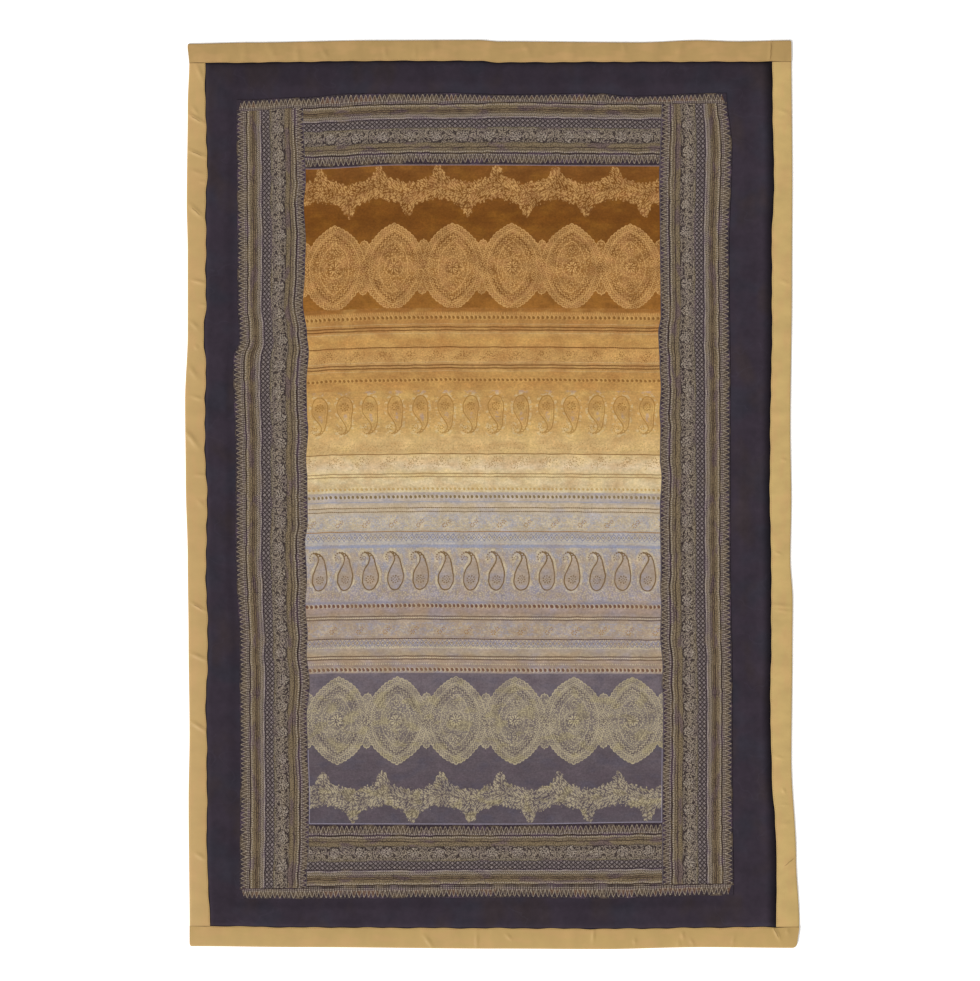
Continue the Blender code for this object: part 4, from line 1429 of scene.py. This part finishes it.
def stitchTree(material):
    tree = bpy.data.node_groups.new("stitches_" + material.name, "GeometryNodeTree")
    tree.interface.new_socket("Seam", in_out="INPUT", socket_type="NodeSocketGeometry")
    for size in ("Pitch", "Length", "Breadth", "Unevenness"):
        tree.interface.new_socket(size, in_out="INPUT", socket_type="NodeSocketFloat")
    tree.interface.new_socket("Stitches", in_out="OUTPUT", socket_type="NodeSocketGeometry")
    kinds = {
        "given": "NodeGroupInput", "line": "GeometryNodeMeshToCurve", "evenly": "GeometryNodeResampleCurve",
        "thread": "GeometryNodeMeshUVSphere", "tangent": "GeometryNodeInputTangent",
        "turn": "FunctionNodeAlignRotationToVector", "chance": "FunctionNodeRandomValue",
        "least": "ShaderNodeMath", "stretched": "ShaderNodeMath", "size": "ShaderNodeCombineXYZ",
        "placed": "GeometryNodeInstanceOnPoints", "real": "GeometryNodeRealizeInstances",
        "dyed": "GeometryNodeSetMaterial", "result": "NodeGroupOutput"}
    nodes = {name: tree.nodes.new(kind) for name, kind in kinds.items()}
    nodes["evenly"].mode = "LENGTH"
    nodes["turn"].axis = "X"
    nodes["chance"].data_type = "FLOAT"
    nodes["least"].operation = "SUBTRACT"
    nodes["stretched"].operation = "MULTIPLY"
    feedAll(nodes["thread"], {"Segments": 6, "Rings": 4, "Radius": 0.5})
    feedAll(nodes["chance"], {"Seed": 7, 3: 1})
    feedAll(nodes["least"], {0: 1})
    feedAll(nodes["dyed"], {"Material": material})
    wires = (
        ("given", "Seam", "line", 0), ("line", 0, "evenly", "Curve"), ("given", "Pitch", "evenly", "Length"),
        ("evenly", 0, "placed", "Points"), ("thread", "Mesh", "placed", "Instance"),
        ("tangent", 0, "turn", "Vector"), ("turn", 0, "placed", "Rotation"),
        ("given", "Unevenness", "least", 1), ("least", 0, "chance", 2), ("chance", 1, "stretched", 0),
        ("given", "Length", "stretched", 1), ("stretched", 0, "size", "X"), ("given", "Breadth", "size", "Y"),
        ("given", "Breadth", "size", "Z"), ("size", 0, "placed", "Scale"), ("placed", 0, "real", 0),
        ("real", 0, "dyed", "Geometry"), ("dyed", 0, "result", 0))
    for start, outlet, end, inlet in wires:
        tree.links.new(nodes[start].outputs[outlet], nodes[end].inputs[inlet])
    return tree


def dressThread(name, inks):
    material = bpy.data.materials.new(name)
    material.use_nodes = True
    tree = material.node_tree
    shader = tree.nodes["Principled BSDF"]
    place = tree.nodes.new("ShaderNodeTexCoord")
    twist = tree.nodes.new("ShaderNodeTexNoise")
    feedAll(twist, {"Scale": 400, "Vector": place.outputs["Object"]})
    ply = Field(twist.outputs[0])
    feed(shader.inputs["Base Color"], paint(dye(*inks[0]), dye(*inks[1]), ply.smooth(0.35, 0.65)))
    feed(shader.inputs["Roughness"], ply * 0.3 + 0.45)
    shader.inputs["Sheen Weight"].default_value = 0.1
    bump = tree.nodes.new("ShaderNodeBump")
    feedAll(bump, {"Strength": 0.4, "Distance": 0.1 * mm, "Height": ply})
    feed(shader.inputs["Normal"], bump.outputs[0])
    return material


def stitch(name, seams, sizes, material):
    corners = []
    edges = []
    for seam in seams:
        first = len(corners)
        corners += [tuple(corner) for corner in seam * mm]
        edges += [(spot, spot + 1) for spot in range(first, len(corners) - 1)]
    mesh = bpy.data.meshes.new(name)
    mesh.from_pydata(corners, edges, [])
    piece = placed(name, mesh)
    sewer = piece.modifiers.new("stitches", "NODES")
    sewer.node_group = stitchTree(material)
    for item in sewer.node_group.interface.items_tree:
        if item.name in sizes:
            sewer[item.identifier] = sizes[item.name] * (1 if item.name == "Unevenness" else mm)
    bpy.context.view_layer.update()
    made = bpy.data.meshes.new_from_object(piece.evaluated_get(bpy.context.evaluated_depsgraph_get()))
    piece.modifiers.remove(sewer)
    piece.data = made
    made.name = name
    made.shade_smooth()
    return piece


def bindingSeams():
    inset = bindingStitches["in from the edge"]
    clear = bindingStitches["clear of the corners"]
    up = (level("foot binding") + clear, level("head binding") - clear)
    sideways = (upright("left binding") + clear, upright("right binding") - clear)
    seams = []
    for name, runsUp in bindingStrips.items():
        fold, seam, inward = stripLines(name)
        width = abs(seam - fold)
        along = np.array(spread(*(up if runsUp else sideways), bindingCut["step"]))
        wander = inward * satinWander(name, along) * bindingStitches["follows the edge"]
        across = np.full(len(along), seam - inward * inset) + wander
        x, y = laid(across, along) if runsUp else laid(along, across)
        lift = satinRise(name, along, np.full(len(along), width - inset), width)
        seams.append(np.stack((x, y, heights["binding top"] + lift + heights["thread"]), 1))
    return seams


def printSeams():
    inset = printStitches["in from the edge"]
    clear = printStitches["clear of the corners"]
    strip = (level("foot edging"), level("head edging"))
    panel = (leftSeam, rightSeam)
    whole = (leftTeeth, rightTeeth)
    rows = (  # where the row lies, between which places it runs, whether it runs up the throw
        (leftSeam - inset, strip, True), (rightSeam + inset, strip, True),
        (level("panel head") + inset, panel, False), (level("panel foot") - inset, panel, False),
        (level("head edging") + inset, whole, False), (level("foot edging") - inset, whole, False))
    seams = []
    for place, (low, high), runsUp in rows:
        along = np.array(spread(low + clear, high - clear, printStitches["step"]))
        aside = np.full(len(along), place)
        across, up = (aside, along) if runsUp else (along, aside)
        x, y = laid(across, up)
        seams.append(np.stack((x, y, printTop(across, up) + heights["thread"]), 1))
    return seams


# The studio

studio = {
    "lens": 85,
    "sensor": 36,
    "picture height": 981,
    "mm a pixel": 2.3166,
    "view middle": (0, 9.85),
    "floor": (252, 251, 250),
    "floor size": 60,
    "floor glow": 0.3,
    "sky": 0.36,
    "key": 3.3,
    "key softness": 20,
    "key from": (-0.56, -0.54, 0.63),
}


def setStudio():
    floorMesh = bpy.data.meshes.new("studio_floor")
    half = studio["floor size"] / 2
    corners = [(-half, -half, 0), (half, -half, 0), (half, half, 0), (-half, half, 0)]
    floorMesh.from_pydata(corners, [], [(0, 1, 2, 3)])
    floor = placed("studio_floor", floorMesh)
    paper = bpy.data.materials.new("pale_paper")
    paper.use_nodes = True
    shader = paper.node_tree.nodes["Principled BSDF"]
    feedAll(shader, {
        "Base Color": dye(*studio["floor"]), "Roughness": 1.0, "Specular IOR Level": 0.0,
        "Emission Color": (1, 1, 1, 1), "Emission Strength": studio["floor glow"]})
    floorMesh.materials.append(paper)

    world = bpy.data.worlds.new("studio_sky")
    bpy.context.scene.world = world
    world.use_nodes = True
    feedAll(world.node_tree.nodes["Background"], {"Color": (1, 1, 1, 1), "Strength": studio["sky"]})

    lamp = bpy.data.lights.new("key", "SUN")
    lamp.energy = studio["key"]
    lamp.angle = math.radians(studio["key softness"])
    key = placed("key", lamp)
    key.rotation_euler = Vector(studio["key from"]).to_track_quat("Z", "Y").to_euler()

    camera = bpy.data.cameras.new("camera")
    camera.lens = studio["lens"]
    camera.sensor_width = studio["sensor"]
    camera.clip_end = 100
    view = placed("camera", camera)
    frameHeight = studio["picture height"] * studio["mm a pixel"] * mm
    distance = frameHeight * studio["lens"] / studio["sensor"]
    across, up = studio["view middle"]
    view.location = ((across - middleX) * mm, (up - middleY) * mm, distance)
    bpy.context.scene.camera = view
    bpy.context.scene.view_settings.view_transform = "Standard"
    return floor


ground = makeGround()
print("Laid the padded ground")
prints = makePrints()
print("Laid the printed cloths")
bindings = makeBindings()
print("Folded the satin over the edges")

ground.data.materials.append(dressGround())
dressPanel(prints["panel_cloth"])
sideEdge = leftSeam - leftTeeth
sideBorder = dressStrip("striped_border_side", sideEdge)
crossBorder = dressStrip("striped_border_across", level("head teeth") - level("panel head"))
edgingMiddle = (leftTeeth + rightTeeth) / 2
edgingHalf = (rightTeeth - leftTeeth) / 2
edging = dressStrip("toothed_edging", 0, (edgingMiddle, edgingHalf))
for name, piece in prints.items():
    if name.startswith("edging"):
        piece.data.materials.append(edging)
    elif name.endswith(("left", "right")):
        piece.data.materials.append(sideBorder)
    elif name.endswith(("head", "foot")):
        piece.data.materials.append(crossBorder)
for name, piece in bindings.items():
    piece.data.materials.append(dressSatin(name))
print("Dressed every piece")
goldThread = stitch(
    "binding_stitches", bindingSeams(), bindingStitches, dressThread("gold_thread", threadInks["binding"]))
darkThread = stitch(
    "print_stitches", printSeams(), printStitches, dressThread("dark_thread", threadInks["print"]))
print("Stitched the seams")

floor = setStudio()

# Flat sizes in mm, as a maker would cut them: for the satin twice the breadth that shows, and its fold
panelWidth = rightSeam - leftSeam
flatSizes = {
    "ground_cloth": (1390, 2090),
    "panel_cloth": (panelWidth, level("panel head") - level("panel foot")),
    "border_cloth_left": (158.8, 1808),
    "border_cloth_right": (160, 1808),
    "border_cloth_head": (panelWidth, 141),
    "border_cloth_foot": (822.4, 143.6),
    "edging_cloth_head": (rightTeeth - leftTeeth + 5, 23.3),
    "edging_cloth_foot": (1141.3, 28),
    "binding_satin_left": (88, 2004),
    "binding_satin_right": (99, 2004),
    "binding_satin_head": (99, 1400),
    "binding_satin_foot": (99, 1400),
}


def sew(piece, node):
    flat = flatSizes[piece.name]
    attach(piece, "root")
    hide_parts(node)
    flat[0] * mm
    flat[1] * mm


sew(ground, "ground")
sew(prints["panel_cloth"], "centre_panel")
for side in ("left", "right", "head", "foot"):
    sew(prints["border_cloth_" + side], "border_" + side)
for end in ("head", "foot"):
    sew(prints["edging_cloth_" + end], "edging_" + end)
for side in ("left", "right", "head", "foot"):
    sew(bindings[side], "binding_" + side)

for thread, slot in ((goldThread, "binding_satin"), (darkThread, "border_print")):
    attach(thread, "root")

print("Sewed every piece to its place")
